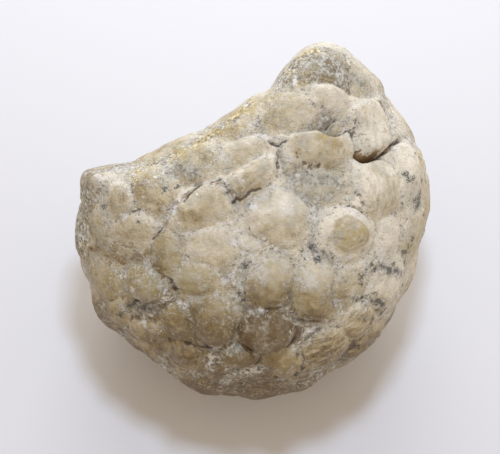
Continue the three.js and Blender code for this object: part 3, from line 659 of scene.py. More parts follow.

# Small white crusts, some of them painted glints such as the one on the pearl plate: places by half width.
CRUSTS_AND_GLINTS = {
    0.35: [-6.6, 4.6],
    0.4: [-12.9, 4.5, -11.7, 6.7, -6.9, 9.0],
    0.5: [-15.0, -6.6, -1.1, 14.9, 4.6, 18.0, -1.5, 6.0, 16.8, -7.2, 9.0, 12.1, -2.8, -7.2],
    0.6: [
        -12.4, -9.8, 2.7, 3.6, -15.9, -4.7, -15.1, -4.3, -4.7, -13.5, -5.1, -14.9, 6.5, -11.3, 9.6, -2.9,
        6.8, 17.8, -18.2, 6.8, -9.5, 3.0, -3.5, -5.6,
    ],
    # A painted glint on the pearl plate.
    0.65: [-13.5, -5.9],
    0.7: [-1.3, -2.0, 0.8, 2.6, 12.4, -3.2, 0.8, 14.8],
    0.8: [-2.4, -0.9, -0.2, 3.3, 3.5, 3.3, -2.7, 1.5, -15.4, 2.1],
    0.9: [-13.5, -10.6, 10.6, 2.9],
}

# Veils of white in the calcite, with painted highlights on the tops of the bosses: places by half width.
VEILS_AND_HIGHLIGHTS = {
    0.6: [3.4, -8.9],
    0.7: [9.9, 13.0],
    0.8: [10.8, 11.0, -7.6, -1.4, 4.0, -15.0, -6.0, -14.7, -4.0, 3.0],
    0.9: [4.4, 6.6],
    1.0: [11.8, 2.4, -3.9, -5.5, -0.4, 4.0, 3.6, 9.0],
    1.1: [3.3, 2.9, 9.8, -3.4],
    1.2: [14.6, -2.2],
    1.3: [6.4, 13.6, -2.2, 0.5, 5.4, 13.4],
    1.4: [-0.9, -1.4, -3.4, 9.3],
    1.6: [6.4, -4.6, 9.4, 15.2],
    1.7: [0.8, -3.9],
}

# Grey matrix. In this and the next tables: run, half width, and strength where it isn't 1.
GREY_RUNS = [
    ([3.9, 20.2, 6.2, 20.0, 9.0, 19.2, 12.6, 17.6], 1.0, 0.9),
    ([5.8, 21.9, 8.2, 21.6, 10.6, 20.6], 0.7, 0.6), ([2.9, 17.9, 3.6, 18.7], 0.9, 0.9),
    ([-10.4, 7.0, -9.4, 8.1, -7.4, 7.6], 1.2, 0.9), ([8.0, 14.5, 8.6, 13.7, 8.2, 12.9], 0.85, 1.1),
    ([4.6, 7.4, 6.9, 6.6, 9.6, 6.4], 1.4, 1.0), ([3.7, 5.6, 6.4, 4.2, 8.8, 4.4], 0.9, 0.9),
    ([7.1, 3.5, 6.6, 0.8, 7.0, -1.6, 9.4, -3.0], 0.6, 1.1), ([3.9, 9.0, 4.6, 8.2, 5.6, 7.6], 0.5, 0.9),
    ([-20.4, 4.6, -20.6, 2.4, -20.2, -1.4], 0.8, 0.7), ([-18.2, 6.0, -17.6, 4.9, -17.4, 3.4], 0.4, 0.9),
    ([-18.2, 7.6, -15.2, 8.3], 0.45, 0.9), ([2.9, 10.2, 3.1, 8.8, 3.6, 7.4, 5.0, 7.2], 0.55, 0.9),
    ([-18.0, 2.5, -17.5, 1.4], 0.6, 0.6), ([-0.9, -2.6, -1.7, -5.2, -1.9, -8.4], 0.9, 0.8),
    ([-11.2, -5.0, -10.2, -6.6, -9.0, -8.0], 0.7, 0.8), ([-14.9, -8.7, -12.6, -9.0], 1.0, 1.0),
    ([-15.4, -4.0, -15.1, -6.8], 0.6, 0.7), ([-3.0, -12.6, -1.8, -13.0], 0.6, 0.8),
    ([10.4, -3.6, 13.6, -4.6, 16.2, -4.8], 1.1, 0.5), ([10.9, -6.2, 14.3, -7.6], 0.8, 0.5),
    ([17.8, 7.2, 18.7, 3.4, 17.6, -0.8], 0.9, 0.5), ([-4.9, -13.6, -5.2, -15.2], 0.6, 0.9),
    ([-2.8, -16.2, -0.9, -16.5, 0.9, -15.8], 0.5, 0.9), ([4.3, -16.9, 6.0, -16.0], 0.5, 0.6),
    ([3.9, -6.0, 3.6, -8.0, 1.0, -8.4], 0.45, 0.7),
]

# Loose grains of white, grey and black in the open joints.
GRAIN_RUNS = [
    ([9.0, -10.4, 7.0, -11.2, 5.3, -12.8], 0.7), ([-4.6, -13.4, -5.3, -15.6], 0.9),
    ([-3.2, -16.0, -1.0, -16.6, 1.2, -16.0], 0.6), ([4.2, -9.0, 4.8, -10.2], 0.5),
    ([-11.2, -8.2, -9.6, -7.4], 0.6), ([-15.0, -4.4, -15.0, -6.4], 0.6), ([5.4, -16.9, 7.6, -15.9], 0.6),
    ([-10.3, -7.2, -9.9, -5.4], 0.5), ([6.6, -1.0, 7.2, -2.8], 0.5), ([11.6, -7.4, 14.8, -8.2], 0.7),
    ([13.8, -3.6, 16.6, -4.4], 0.7), ([2.8, 18.2, 4.6, 19.8], 0.8),
    ([-15.0, 7.4, -11.0, 8.9, -6.0, 11.4, -2.5, 13.4, -0.3, 15.3], 0.45),
    ([4.8, 20.6, 7.6, 21.7, 10.4, 20.9], 0.5), ([-19.9, 5.0, -20.1, 3.6, -20.2, 0.6, -19.9, -2.0], 0.9),
    ([-4.2, 6.4, -2.8, 5.4, -2.4, 3.8], 0.4), ([-9.2, 3.4, -8.0, 4.7, -6.6, 5.9], 0.35),
]

# Brown, weathered matrix, and painted shade under the bosses, under the broken cap, in the pit above it
# and along the lower edge.
BROWN_AND_SHADE_RUNS = [
    ([-19.6, 7.4, -17.4, 8.0, -15.0, 8.4], 0.9, 1.6), ([8.9, 8.3, 10.1, 8.2], 0.5, 1.5),
    ([7.3, 11.0, 9.0, 11.2, 9.0, 10.3, 7.8, 10.2], 0.6, 1.2), ([4.2, 10.6, 4.9, 9.9], 0.5, 0.4),
    ([8.0, 14.5, 8.6, 13.7, 8.2, 12.9], 0.7, 2.0), ([-19.0, -1.5, -16.2, -2.3, -13.2, -2.9], 0.9, 2.2),
    ([-20.1, 5.2, -20.3, 3.6, -20.2, 0.6, -19.8, -2.4, -19.4, -5.0], 0.9, 1.6),
    ([-18.2, 7.4, -15.6, 8.0], 0.6),
    ([-20.4, -3.5, -19.2, -7.4, -16.6, -11.6, -12.8, -14.6, -9.2, -17.2], 1.0, 1.3),
    ([-9.2, -17.2, -5.0, -18.8, -1.0, -19.0, 4.6, -18.4, 8.8, -16.4], 1.2, 1.2),
    ([-3.6, -17.0, 1.5, -17.2], 0.5), ([-12.0, -1.2, -11.5, -3.5], 0.6), ([-14.4, 1.9, -16.6, 1.5], 0.35),
    ([-7.5, -12.6, -6.0, -13.2, -4.2, -12.6], 0.6, 1.5), ([3.5, -7.0, 3.8, -9.0], 0.6, 1.5),
    ([6.0, -9.6, 7.6, -9.8], 0.6, 1.5), ([-11.6, -8.6, -13.4, -7.9], 0.6, 1.5),
    ([-6.9, -8.4, -7.4, -11.4], 0.5, 1.2), ([14.0, -7.0, 14.6, -7.6], 0.4),
    ([12.2, -9.6, 14.6, -8.8], 0.4), ([-3.6, 5.0, -1.2, 4.6], 0.35), ([9.8, -14.8, 11.5, -14.0], 0.5),
]

# Ochre stains.
OCHRE_RUNS = [
    ([-15.4, 7.3, -13.0, 7.6, -11.0, 8.7, -9.0, 9.6, -6.0, 11.3, -2.7, 13.3, -0.5, 15.2], 0.9),
    ([2.2, 16.2, 4.5, 16.6], 0.8), ([3.2, 18.6, 5.0, 21.0, 7.0, 21.8], 0.8),
    ([4.9, 17.6, 6.3, 18.0], 0.5), ([-19.0, 6.0, -19.8, 4.0, -20.0, 1.4, -19.6, -1.6], 1.0, 0.5),
    ([-18.2, 5.4, -17.6, 6.6], 0.5), ([7.3, 11.0, 9.0, 11.3, 9.0, 10.4, 7.8, 10.2], 0.55),
    ([11.3, 13.2, 11.6, 14.6], 0.35), ([12.1, 3.4, 13.7, 1.9], 0.5), ([9.8, -0.6, 11.4, 0.4], 0.7),
    ([19.4, 9.5, 20.0, 5.0, 19.6, 1.0], 0.7), ([-15.0, -1.8, -18.0, -2.2], 0.6),
]

# The amber lip under the tongue-shaped plate, then rust.
AMBER_RUNS = [
    ([11.8, 9.8, 12.3, 9.3, 13.2, 9.1, 14.7, 9.4], 0.22, 1.3),
    ([-19.0, -1.6, -17.4, -2.6, -15.4, -3.2, -13.6, -2.4], 0.7, 0.5), ([-7.4, 5.2, -9.4, 3.7], 0.45, 0.4),
    ([-5.2, 6.1, -4.0, 6.0], 0.4, 0.4), ([-10.9, -4.7, -9.6, -6.2], 0.45, 0.45),
    ([-1.2, -8.0, 0.2, -8.2], 0.4, 0.4), ([7.6, -15.3, 9.4, -14.8, 11.0, -13.8, 12.4, -12.2], 0.5, 0.4),
    ([5.6, -10.3, 7.6, -10.0, 8.9, -7.8], 0.45, 0.4), ([13.2, -10.0, 14.4, -8.8], 0.4, 0.45),
    ([4.6, -16.9, 6.2, -16.4], 0.4, 0.45), ([-3.0, -15.4, -0.9, -15.3], 0.3, 0.45),
    ([-7.6, -12.9, -6.2, -13.4], 0.4, 0.4), ([-16.9, 1.6, -15.9, 2.0], 0.35, 0.4),
]

# How far edges wander, and the size of their waves: of the plates, of fine cracks, of the stains in the
# stone and of what lies on it.
PLATE_WANDER = (0.22, 1.8)
CRACK_WANDER = (0.1, 0.9)
STAIN_WANDER = (0.5, 1.4)
SPOT_WANDER = (0.22, 0.6)

FILL_SIZE = 4.0  # the stretches of a suture that are open or filled with matrix
FLAKE_DEPTH = 0.06  # thin layers have come off in patches
FLAKE_SIZE = 3.0
LUMP_DEPTH = 0.12
LUMP_SIZE = 2.2
GRAIN_DEPTH = 0.05
GRAIN_SIZE = 0.6
PIT_DEPTH = 0.16
PIT_SPACING = 0.8
PIT_RADIUS = 0.34  # as a share of the spacing
SEAM_PIT_DEPTH = 0.3
SEAM_LINE_WIDTH = 0.05  # the dark line along a suture, as a share of the plate
VEIN_HEIGHT = 0.06
SPOT_DEPTH = 2.5  # how many of its half widths a spot reaches from its middle, into the stone too
FINE_CRACK_SHARE = 0.7  # how much of a fine crack's depth is cut into the surface
# A crack's dark colour is soil and painted shade: one of the first depth is filled, a deeper one is
# painted darker, up to the most.
SOIL_AND_SHADE_DEPTH = 0.3  # a crack of this depth is filled with soil, a deeper one looks darker
MOST_SOIL_AND_SHADE = 1.5
ALWAYS_OPEN_DEPTH = 0.42  # a deeper crack is open along its whole length
STRIPE_DEPTH = 0.035
STRIPE_LENGTH = 0.42
STREAK_STRETCH = 0.25  # a streak in the stone is this much shorter across its plate than along it
STREAK_SHIFT = 7.3  # from plate to plate, so that each has streaks of its own
RING_TURNS = 40  # how close the growth rings are: a turn of a sine is one ring
FACET_RIDGES = 24  # rays round the stem scar
FACET_RIDGE_DEPTH = 0.12


def shape(directions):
    """Surface points in the face frame for these directions, and the fields that the material uses."""
    points = body_points(directions)
    warp = np.stack([unevenness(points, WARP_LENGTH, seed) for seed in (1.1, 2.3, 3.7)], axis=1)
    ragged = points + WARP_DEPTH * warp + shake(points, *PLATE_WANDER, 3, 11)
    owner, outward, along, beside, lift, gap = plate_fields(ragged)
    own = own_values(owner)
    on_face = smoothstep(points[:, 2], 0, 3)

    # Plates and sutures: a suture is open in some stretches and filled with matrix in others.
    bulge = own["bulge"]
    slab_dome = (1 - outward**5) * (1 - 0.2 * outward**2)
    boss_dome = (1 - outward**2) ** (2.1 - 0.8 * smoothstep(bulge, 0.6, 1.2))
    openness = smoothstep(fractal(points, FILL_SIZE, 2, 41), -0.45, 0.45)
    groove = bell(1 - outward, SUTURE_WIDTH)
    seam = bell(1 - outward, SEAM_LINE_WIDTH)
    relief = lift + bulge * np.where(own["slab"] > 0.5, slab_dome, boss_dome)
    relief -= SUTURE_DEPTH * groove * (0.2 + 0.5 * openness) + 0.1 * seam * openness
    relief *= plate_share(points)

    # Cracks, the pits along a seam and pale veins.
    wander = points + shake(points, *CRACK_WANDER, 2, 51)
    crack, vein = np.zeros((2, len(points)))
    unfilled = 0.35 + 0.65 * smoothstep(noise(points, 0.7, 401), -0.35, 0.15)
    for run, half, depth in OPEN_CRACKS.values():
        relief -= on_face * depth * near_run(run, half, points)
    for run, half, depth in FINE_CRACKS.values():
        open_share = 1 if depth > ALWAYS_OPEN_DEPTH else unfilled
        near = on_face * open_share * near_run(run, half, wander)
        # Painted shade: a deeper crack gets more of the dark colour.
        crack = np.maximum(crack, near * min(depth / SOIL_AND_SHADE_DEPTH, MOST_SOIL_AND_SHADE))
        relief -= FINE_CRACK_SHARE * depth * near
    seam_pits = on_face * spots(SEAM_PITS, wander)
    crack = np.maximum(crack, seam_pits)
    relief -= SEAM_PIT_DEPTH * seam_pits
    for run, half in PALE_VEINS.values():
        vein = np.maximum(vein, on_face * unfilled * near_run(run, half, wander))
    relief += VEIN_HEIGHT * vein

    # Rough matrix, flakes, lumps, grain, pits and striations.
    rough = np.clip(own["rough"] + 0.7 * groove * (1 - openness) + 0.3 * gap, 0, 1)
    layers = fractal(points, FLAKE_SIZE, 3, 91)
    flakes = smoothstep(layers, 0.05, 0.12) + smoothstep(layers, -0.32, -0.25)
    pits = smoothstep(PIT_RADIUS - pit_distance(ragged, PIT_SPACING, 101), 0, 0.25)
    pitted = rough * smoothstep(noise(points, 2.6, 111), -0.2, 0.4)
    stripe_wave = np.sin(2 * math.pi * (beside + 0.12 * noise(points, 1.2, 131)) / STRIPE_LENGTH)
    striped = own["stripe"] * smoothstep(0.95 - outward, 0, 0.2)
    relief += FLAKE_DEPTH * (flakes - 1) * (1 - 0.5 * rough)
    relief += LUMP_DEPTH * fractal(points, LUMP_SIZE, 3, 81) * (0.35 + 1.2 * rough)
    relief += GRAIN_DEPTH * fractal(points, GRAIN_SIZE, 2, 121) * (0.5 + 1.3 * rough)
    relief -= PIT_DEPTH * pits * pitted
    relief += STRIPE_DEPTH * stripe_wave * striped

    # The hollow base with its stem scar, the arm lobes and a slow swell.
    height, distance = from_base_axis(points)
    scar_turn = np.arctan2(points @ base_sideways, points @ base_towards_face)
    on_scar = np.where(height > 0, smoothstep(FACET_RADIUS - distance, 0, 0.4), 0)
    rays = np.cos(FACET_RIDGES * scar_turn) * smoothstep(distance, LUMEN_RADIUS, LUMEN_RADIUS + 0.5)
    along_base = np.maximum(directions @ base_axis, 0.5)
    relief += (base_relief(points) + FACET_RIDGE_DEPTH * rays * on_scar) / along_base
    relief += arm_lobe_relief(directions)
    relief += SWELL_DEPTH * unevenness(points, SWELL_LENGTH, 5.2)

    marks = {"rough": rough, "openness": openness, "crack": crack, "vein": vein, "gap": gap}
    fields = colour_fields(points, own, outward, marks)
    fields["stripe"] = striped
    streak_places = np.stack([along * STREAK_STRETCH, beside, owner * STREAK_SHIFT], axis=1)
    return points + directions * relief[:, None], fields, streak_places


def spots(table, points):
    """1 inside any of these spots of the display face, fading to 0 outside them."""
    seen = as_seen(points)
    most = np.zeros(len(points))
    for half, places in table.items():
        places = np.reshape(places, (-1, 2))
        for (x, y), middle in zip(places, body_points(directions_on_face(places))):
            away = np.hypot(seen[:, 0] - x, seen[:, 1] - y) / half
            depth = np.linalg.norm(points - middle, axis=1) / (SPOT_DEPTH * half)
            most = np.maximum(most, np.exp(-(away**2) - depth**4))
    return most


def stains(runs, points):
    """1 along any of these runs, times its strength if it has one, and 0 away from them."""
    most = np.zeros(len(points))
    for run, half, *strength in runs:
        most = np.maximum(most, near_run(run, half, points) * (strength[0] if strength else 1))
    return most


def colour_fields(points, own, outward, marks):
    """What the material mixes its colours by, each from 0 to about 1."""
    mottle = fractal(points, 2.4, 4, 201)
    fine = fractal(points, 0.8, 3, 211)
    on_face = smoothstep(points[:, 2], -5, -1)
    hidden = 1 - on_face
    # How low on the fossil a point is. The stone is painted browner and less white there: partly browner
    # stone, partly painted shade.
    lowness = smoothstep(-points[:, 1], 2, 15) * smoothstep(points[:, 2], -9, -3)
    loose = points + shake(points, *STAIN_WANDER, 3, 221)
    tight = points + shake(points, *SPOT_WANDER, 3, 281)

    # Calcite: browner in a plate's middle and paler at its edge. Painted shade, partly the stone's own
    # tone, makes it browner on its lower side and paler on its upper side.
    # Painted shade: how far a point lies below its plate's middle as seen, -1 above it to 1 below it.
    lower_side_shade = np.clip((own["seen_y"] - as_seen(points)[:, 1]) / 2.6, -1, 1) * on_face
    rings = own["rings"]
    core = own["core"] * smoothstep(0.8 - outward, 0.13 * rings, 0.45 - 0.15 * rings)
    core += 0.1 * rings * np.sin(RING_TURNS * (outward + 0.03 * fine))
    tone = own["tone"] + core + 0.2 * mottle + 0.12 * fine
    # Browner on each plate's lower side and towards the bottom of the fossil: painted shade, partly the
    # stone's own tone.
    tone += 0.16 * lower_side_shade + 0.2 * lowness - 0.16 * smoothstep(outward, 0.55, 1.0)
    # Browner along the brown runs: weathered matrix and painted shade.
    tone += 0.3 * stains(BROWN_AND_SHADE_RUNS, loose) * on_face

    # Veils of white in the calcite with painted highlights on the bosses' tops, and a frosting on the
    # upper side of some plates that is partly painted highlight.
    # Painted highlight: the frosting lies on the upper side of a plate.
    frosted_highlight = own["frost_and_highlight"] * smoothstep(0.25 * mottle + 0.2 * fine - lower_side_shade, -0.35, 0.6)
    veil_and_highlight = spots(VEILS_AND_HIGHLIGHTS, loose) * on_face * smoothstep(mottle + 0.6 * fine, -0.9, 0.4)
    scattered = smoothstep(fractal(points, 2.6, 4, 251), 0.35, 0.9)
    pale_edge = 0.45 * smoothstep(outward + 0.12 * fine, 0.72, 1.0) * smoothstep(mottle + fine, -0.6, 0.4)
    veil_and_highlight = np.clip(np.maximum(np.maximum(veil_and_highlight, 0.6 * frosted_highlight), pale_edge) + 0.35 * scattered, 0, 1)
    veil_and_highlight *= 1 - 0.6 * lowness

    # White crusts with some painted glints, and where the white threads are close together.
    crust_and_glint = spots(CRUSTS_AND_GLINTS, tight) * on_face * smoothstep(fine + 0.3 * mottle, -0.6, 0.2)
    crust_and_glint = np.clip(crust_and_glint + 0.75 * marks["vein"], 0, 1)
    thread = 0.5 * own["grit"] + 0.7 * smoothstep(outward, 0.5, 0.95)
    thread += 0.2 * smoothstep(mottle, -0.2, 0.7)
    thread *= 1 - 0.5 * lowness

    # Grey matrix and loose grains, in the joints between plates and where the plates are gone.
    zone = 0.08 + 0.06 * marks["openness"] + 0.06 * fine
    joint = bell(1 - outward, np.maximum(zone, 0.04)) * smoothstep(mottle, -0.5, 0.6)
    rough = marks["rough"]
    grey = stains(GREY_RUNS, loose) * on_face
    grey = np.maximum(grey, rough * smoothstep(mottle + 0.5 * fine, -0.7, 0.4) * 0.7)
    grains = np.maximum(0.55 * joint, 0.5 * rough * smoothstep(mottle, -0.2, 0.5))
    grains = np.maximum(grains, 0.3 * marks["gap"]) * (1 - 0.35 * lowness)
    grains = np.maximum(grains, stains(GRAIN_RUNS, tight) * on_face)

    # Ochre stains, dark mineral specks and clouds of haze.
    ochre = stains(OCHRE_RUNS, loose) * on_face
    hidden_ochre = hidden * smoothstep(fractal(points, 5.0, 4, 271), 0.3, 0.7)
    ochre = np.clip(ochre * smoothstep(fine + mottle, -0.6, 0.4) + 0.6 * hidden_ochre, 0, 1)
    stray = smoothstep(fractal(points, 1.2, 2, 311), 0.5, 0.9)
    strewn = stray * smoothstep(fractal(points, 5.0, 2, 321), 0.0, 0.5)
    in_joint = smoothstep(outward, 0.75, 0.97) * smoothstep(fractal(points, 1.1, 2, 331), 0.3, 0.8)
    speck = spots(SPECKS, tight) * on_face + 0.6 * strewn * (0.4 + 0.6 * hidden) + 0.4 * in_joint
    haze = 0.5 * (1 - lowness) * (1 - 0.6 * smoothstep(fractal(points, 5.0, 2, 361), 0.1, 0.6))

    # Soil along the sutures and in pockets beside them, and soil with painted shade in the cracks, darker
    # the deeper the crack.
    line = bell(1 - outward, SEAM_LINE_WIDTH) * smoothstep(fractal(points, 2.0, 2, 341), -0.3, 0.4)
    pocket = smoothstep(fractal(points, 1.1, 3, 351), 0.35, 0.75) * smoothstep(outward, 0.7, 0.95)
    soil_and_shade = line * (1 - marks["gap"]) * (0.5 + 0.5 * lowness) + 0.4 * pocket * (0.4 + 0.6 * lowness)
    soil_and_shade += marks["crack"]

    return {
        "tone": np.clip(tone, -0.1, 1.3),
        "olive": own["olive"],
        "haze": haze,
        "veil_and_highlight": veil_and_highlight,
        "crust_and_glint": crust_and_glint,
        "thread": np.clip(thread, 0, 1),
        "grey": np.clip(grey, 0, 1),
        "grains": np.clip(grains, 0, 1),
        "ochre": ochre,
        "amber": stains(AMBER_RUNS, tight) * on_face,
        "speck": np.clip(speck, 0, 1),
        "soil_and_shade": np.clip(soil_and_shade, 0, MOST_SOIL_AND_SHADE),
    }


# --- The mesh, placed over the solid ---

SURFACE_CUTS = 98  # cuts along each edge of the starting icosahedron: 20 times its square triangles
FACE_CROWDING = 0.3  # how far directions are drawn towards the display face


def icosphere(cuts):
    """Directions and triangles of an icosahedron with each edge cut into this many pieces."""
    golden = (1 + math.sqrt(5)) / 2
    corners = np.array([
        [-1, golden, 0], [1, golden, 0], [-1, -golden, 0], [1, -golden, 0],
        [0, -1, golden], [0, 1, golden], [0, -1, -golden], [0, 1, -golden],
        [golden, 0, -1], [golden, 0, 1], [-golden, 0, -1], [-golden, 0, 1],
    ])
    sides = [
        (0, 11, 5), (0, 5, 1), (0, 1, 7), (0, 7, 10), (0, 10, 11), (1, 5, 9), (5, 11, 4), (11, 10, 2),
        (10, 7, 6), (7, 1, 8), (3, 9, 4), (3, 4, 2), (3, 2, 6), (3, 6, 8), (3, 8, 9), (4, 9, 5),
        (2, 4, 11), (6, 2, 10), (8, 6, 7), (9, 8, 1),
    ]
    rows = [(i, j) for i in range(cuts + 1) for j in range(cuts + 1 - i)]
    number = {place: index for index, place in enumerate(rows)}
    weights = np.array([(cuts - i - j, i, j) for i, j in rows]) / cuts
    patch = []
    for i, j in rows:
        if i + j < cuts:
            patch.append((number[i, j], number[i + 1, j], number[i, j + 1]))
        if i + j < cuts - 1:
            patch.append((number[i + 1, j], number[i + 1, j + 1], number[i, j + 1]))
    patch = np.array(patch)
    points = np.concatenate([weights @ corners[list(side)] for side in sides])
    triangles = np.concatenate([patch + index * len(rows) for index in range(len(sides))])
    directions = normalised(points)
    _, kept, merged = np.unique(np.round(directions, 6), axis=0, return_index=True, return_inverse=True)
    return directions[kept], merged.reshape(-1)[triangles]


def to_world(points):
    """From the face frame to the way the fossil lies, before it is set down."""
    turned = np.array(Matrix.Rotation(FACE_LEAN, 3, "X"))
    return points @ turned.T


def add_object(name, data):
    made = bpy.data.objects.new(name, data)
    bpy.context.scene.collection.objects.link(made)
    return made


def build_calyx():
    directions, triangles = icosphere(SURFACE_CUTS)
    directions = normalised(directions + [0, 0, FACE_CROWDING])
    points, fields, streak_places = shape(directions)
    points = to_world(points)
    low, high = (np.array(corner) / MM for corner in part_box(NODE))
    middle = (points.min(axis=0) + points.max(axis=0)) / 2
    # Across, the middles agree; in height, the tops do, because the underside is worn flat.
    shift = (low + high) / 2 - middle
    shift[2] = high[2] - points[:, 2].max()
    placed = np.clip(points + shift, low, high)
    mesh = bpy.data.meshes.new("calyx_surface")
    mesh.from_pydata((placed * MM).tolist(), [], triangles.tolist())
    mesh.polygons.foreach_set("use_smooth", np.ones(len(triangles), bool))
    for name, values in fields.items():
        attribute = mesh.attributes.new(name, "FLOAT", "POINT")
        attribute.data.foreach_set("value", values.astype(np.float32))
    streaks = mesh.attributes.new("streak_place", "FLOAT_VECTOR", "POINT")
    streaks.data.foreach_set("vector", streak_places.astype(np.float32).ravel())
    return add_object("calyx_surface", mesh), shift


# --- The stone's material ---


def linear(red, green, blue):
    """A screen colour from 0 to 255 as the linear colour that a shader takes."""
    shares = [value / 255 for value in (red, green, blue)]
    lit = [share / 12.92 if share < 0.04045 else ((share + 0.055) / 1.055) ** 2.4 for share in shares]
    return lit + [1]


CREAM = linear(230, 222, 203)
SAND = linear(211, 200, 174)
TAN = linear(184, 169, 134)
UMBER = linear(146, 125, 83)
BROWN = linear(101, 78, 42)
OLIVE = linear(164, 151, 106)
VEIL_AND_HIGHLIGHT = linear(222, 220, 211)
WHITE = linear(242, 242, 242)
PALE_GREY = linear(184, 181, 168)
BLUE_GREY = linear(134, 135, 127)
HAZE = linear(178, 175, 160)
PALE_GRAIN = linear(220, 219, 214)
GREY_GRAIN = linear(160, 156, 142)
DARK_GRAIN = linear(92, 90, 82)
OCHRE = linear(188, 168, 106)
AMBER = linear(128, 92, 34)
YELLOW_FLECK_AND_GLINT = linear(234, 220, 178)
DARK_SPECK = linear(48, 54, 60)
SOIL_WITH_SHADE = linear(82, 64, 46)
DEEP_SOIL_WITH_SHADE = linear(46, 33, 20)
PORE = linear(96, 80, 58)

# The noises of the stone: the size of their lumps in millimetres, and their layers of finer detail.
STONE_NOISES = {
    "cloud": (2.2, 3), "mottle": (0.9, 3), "grit": (0.4, 3),
    "dust": (0.2, 2), "weave": (1.3, 4), "mist": (1.7, 5),
}
NOISE_ROUGHNESS = 0.6
STREAK_SIZE = 0.42

BUMP_STRENGTH = 0.9
BUMP_HEIGHT = 0.45 * MM
CALCITE_IOR = 1.5
GLOW_SHARE = 0.15
GLOW_REACH = (1.0, 0.8, 0.5)  # red light reaches further into calcite than blue
GLOW_SCALE = 0.7 * MM


class Output:
    """What a node gives. Where it is a number, it can be added to, taken from and multiplied."""

    def __init__(self, tree, socket):
        self.tree = tree
        self.socket = socket

    def __add__(self, other):
        return self.tree.maths("ADD", self, other)

    def __sub__(self, other):
        return self.tree.maths("SUBTRACT", self, other)

    def __mul__(self, other):
        return self.tree.maths("MULTIPLY", self, other)


class NodeTree:
    """A material's nodes, made and linked in one call each."""

    def __init__(self, name):
        self.material = bpy.data.materials.new(name)
        self.material.use_nodes = True
        self.tree = self.material.node_tree
        self.tree.nodes.clear()

    def add(self, kind, output, inputs, **settings):
        """One node with these inputs, given by name or number, and these settings."""
        node = self.tree.nodes.new("ShaderNode" + kind)
        for key, value in settings.items():
            setattr(node, key, value)
        for key, value in inputs.items():
            if isinstance(value, Output):
                self.tree.links.new(value.socket, node.inputs[key])
            else:
                node.inputs[key].default_value = value
        return Output(self, node.outputs[output])

    def attribute(self, name, output="Fac"):
        return self.add("Attribute", output, {}, attribute_name=name)

    def noise(self, size, detail, place):
        """Noise with lumps of this size in the place's own units."""
        inputs = {"Vector": place, "Scale": 1 / size, "Detail": detail, "Roughness": NOISE_ROUGHNESS}
        return self.add("TexNoise", "Fac", inputs)

    def maths(self, operation, first, second):
        return self.add("Math", 0, {0: first, 1: second}, operation=operation)

    def larger(self, first, second):
        return self.maths("MAXIMUM", first, second)

    def spread(self, value, low, high):
        """value moved from low..high to 0..1, and held there."""
        inputs = {"Value": value, "From Min": low, "From Max": high}
        return self.add("MapRange", "Result", inputs, interpolation_type="SMOOTHSTEP")

    def near(self, value, level, reach):
        """1 where value is at the level, 0 where it is further from it than the reach."""
        return self.spread(self.maths("ABSOLUTE", value - level, 0), reach, 0)

    def ramp(self, value, stops):
        """A colour for each value, from these pairs of position and colour."""
        colour = self.add("ValToRGB", "Color", {"Fac": value})
        elements = colour.socket.node.color_ramp.elements
        elements[0].position, elements[0].color = stops[0]
        elements[1].position, elements[1].color = stops[-1]
        for position, stop_colour in stops[1:-1]:
            elements.new(position).color = stop_colour
        return colour

    def mix(self, share, first, second):
        """The first colour with this share of the second one over it."""
        return self.add("Mix", 2, {"Factor": share, 6: first, 7: second}, data_type="RGBA")

    def shade(self, inputs):
        """Makes these inputs the surface, and gives the finished material."""
        shader = self.add("BsdfPrincipled", "BSDF", inputs)
        output = self.tree.nodes.new("ShaderNodeOutputMaterial")
        self.tree.links.new(shader.socket, output.inputs["Surface"])
        return self.material


def around_zero(value, strength):
    """Noise of 0 to 1 moved to lie around 0, times a strength."""
    return (value - 0.5) * strength


def grain_stops(common, pale):
    return [(0.4, DARK_GRAIN), (0.45, common), (0.52, common), (0.57, pale)]


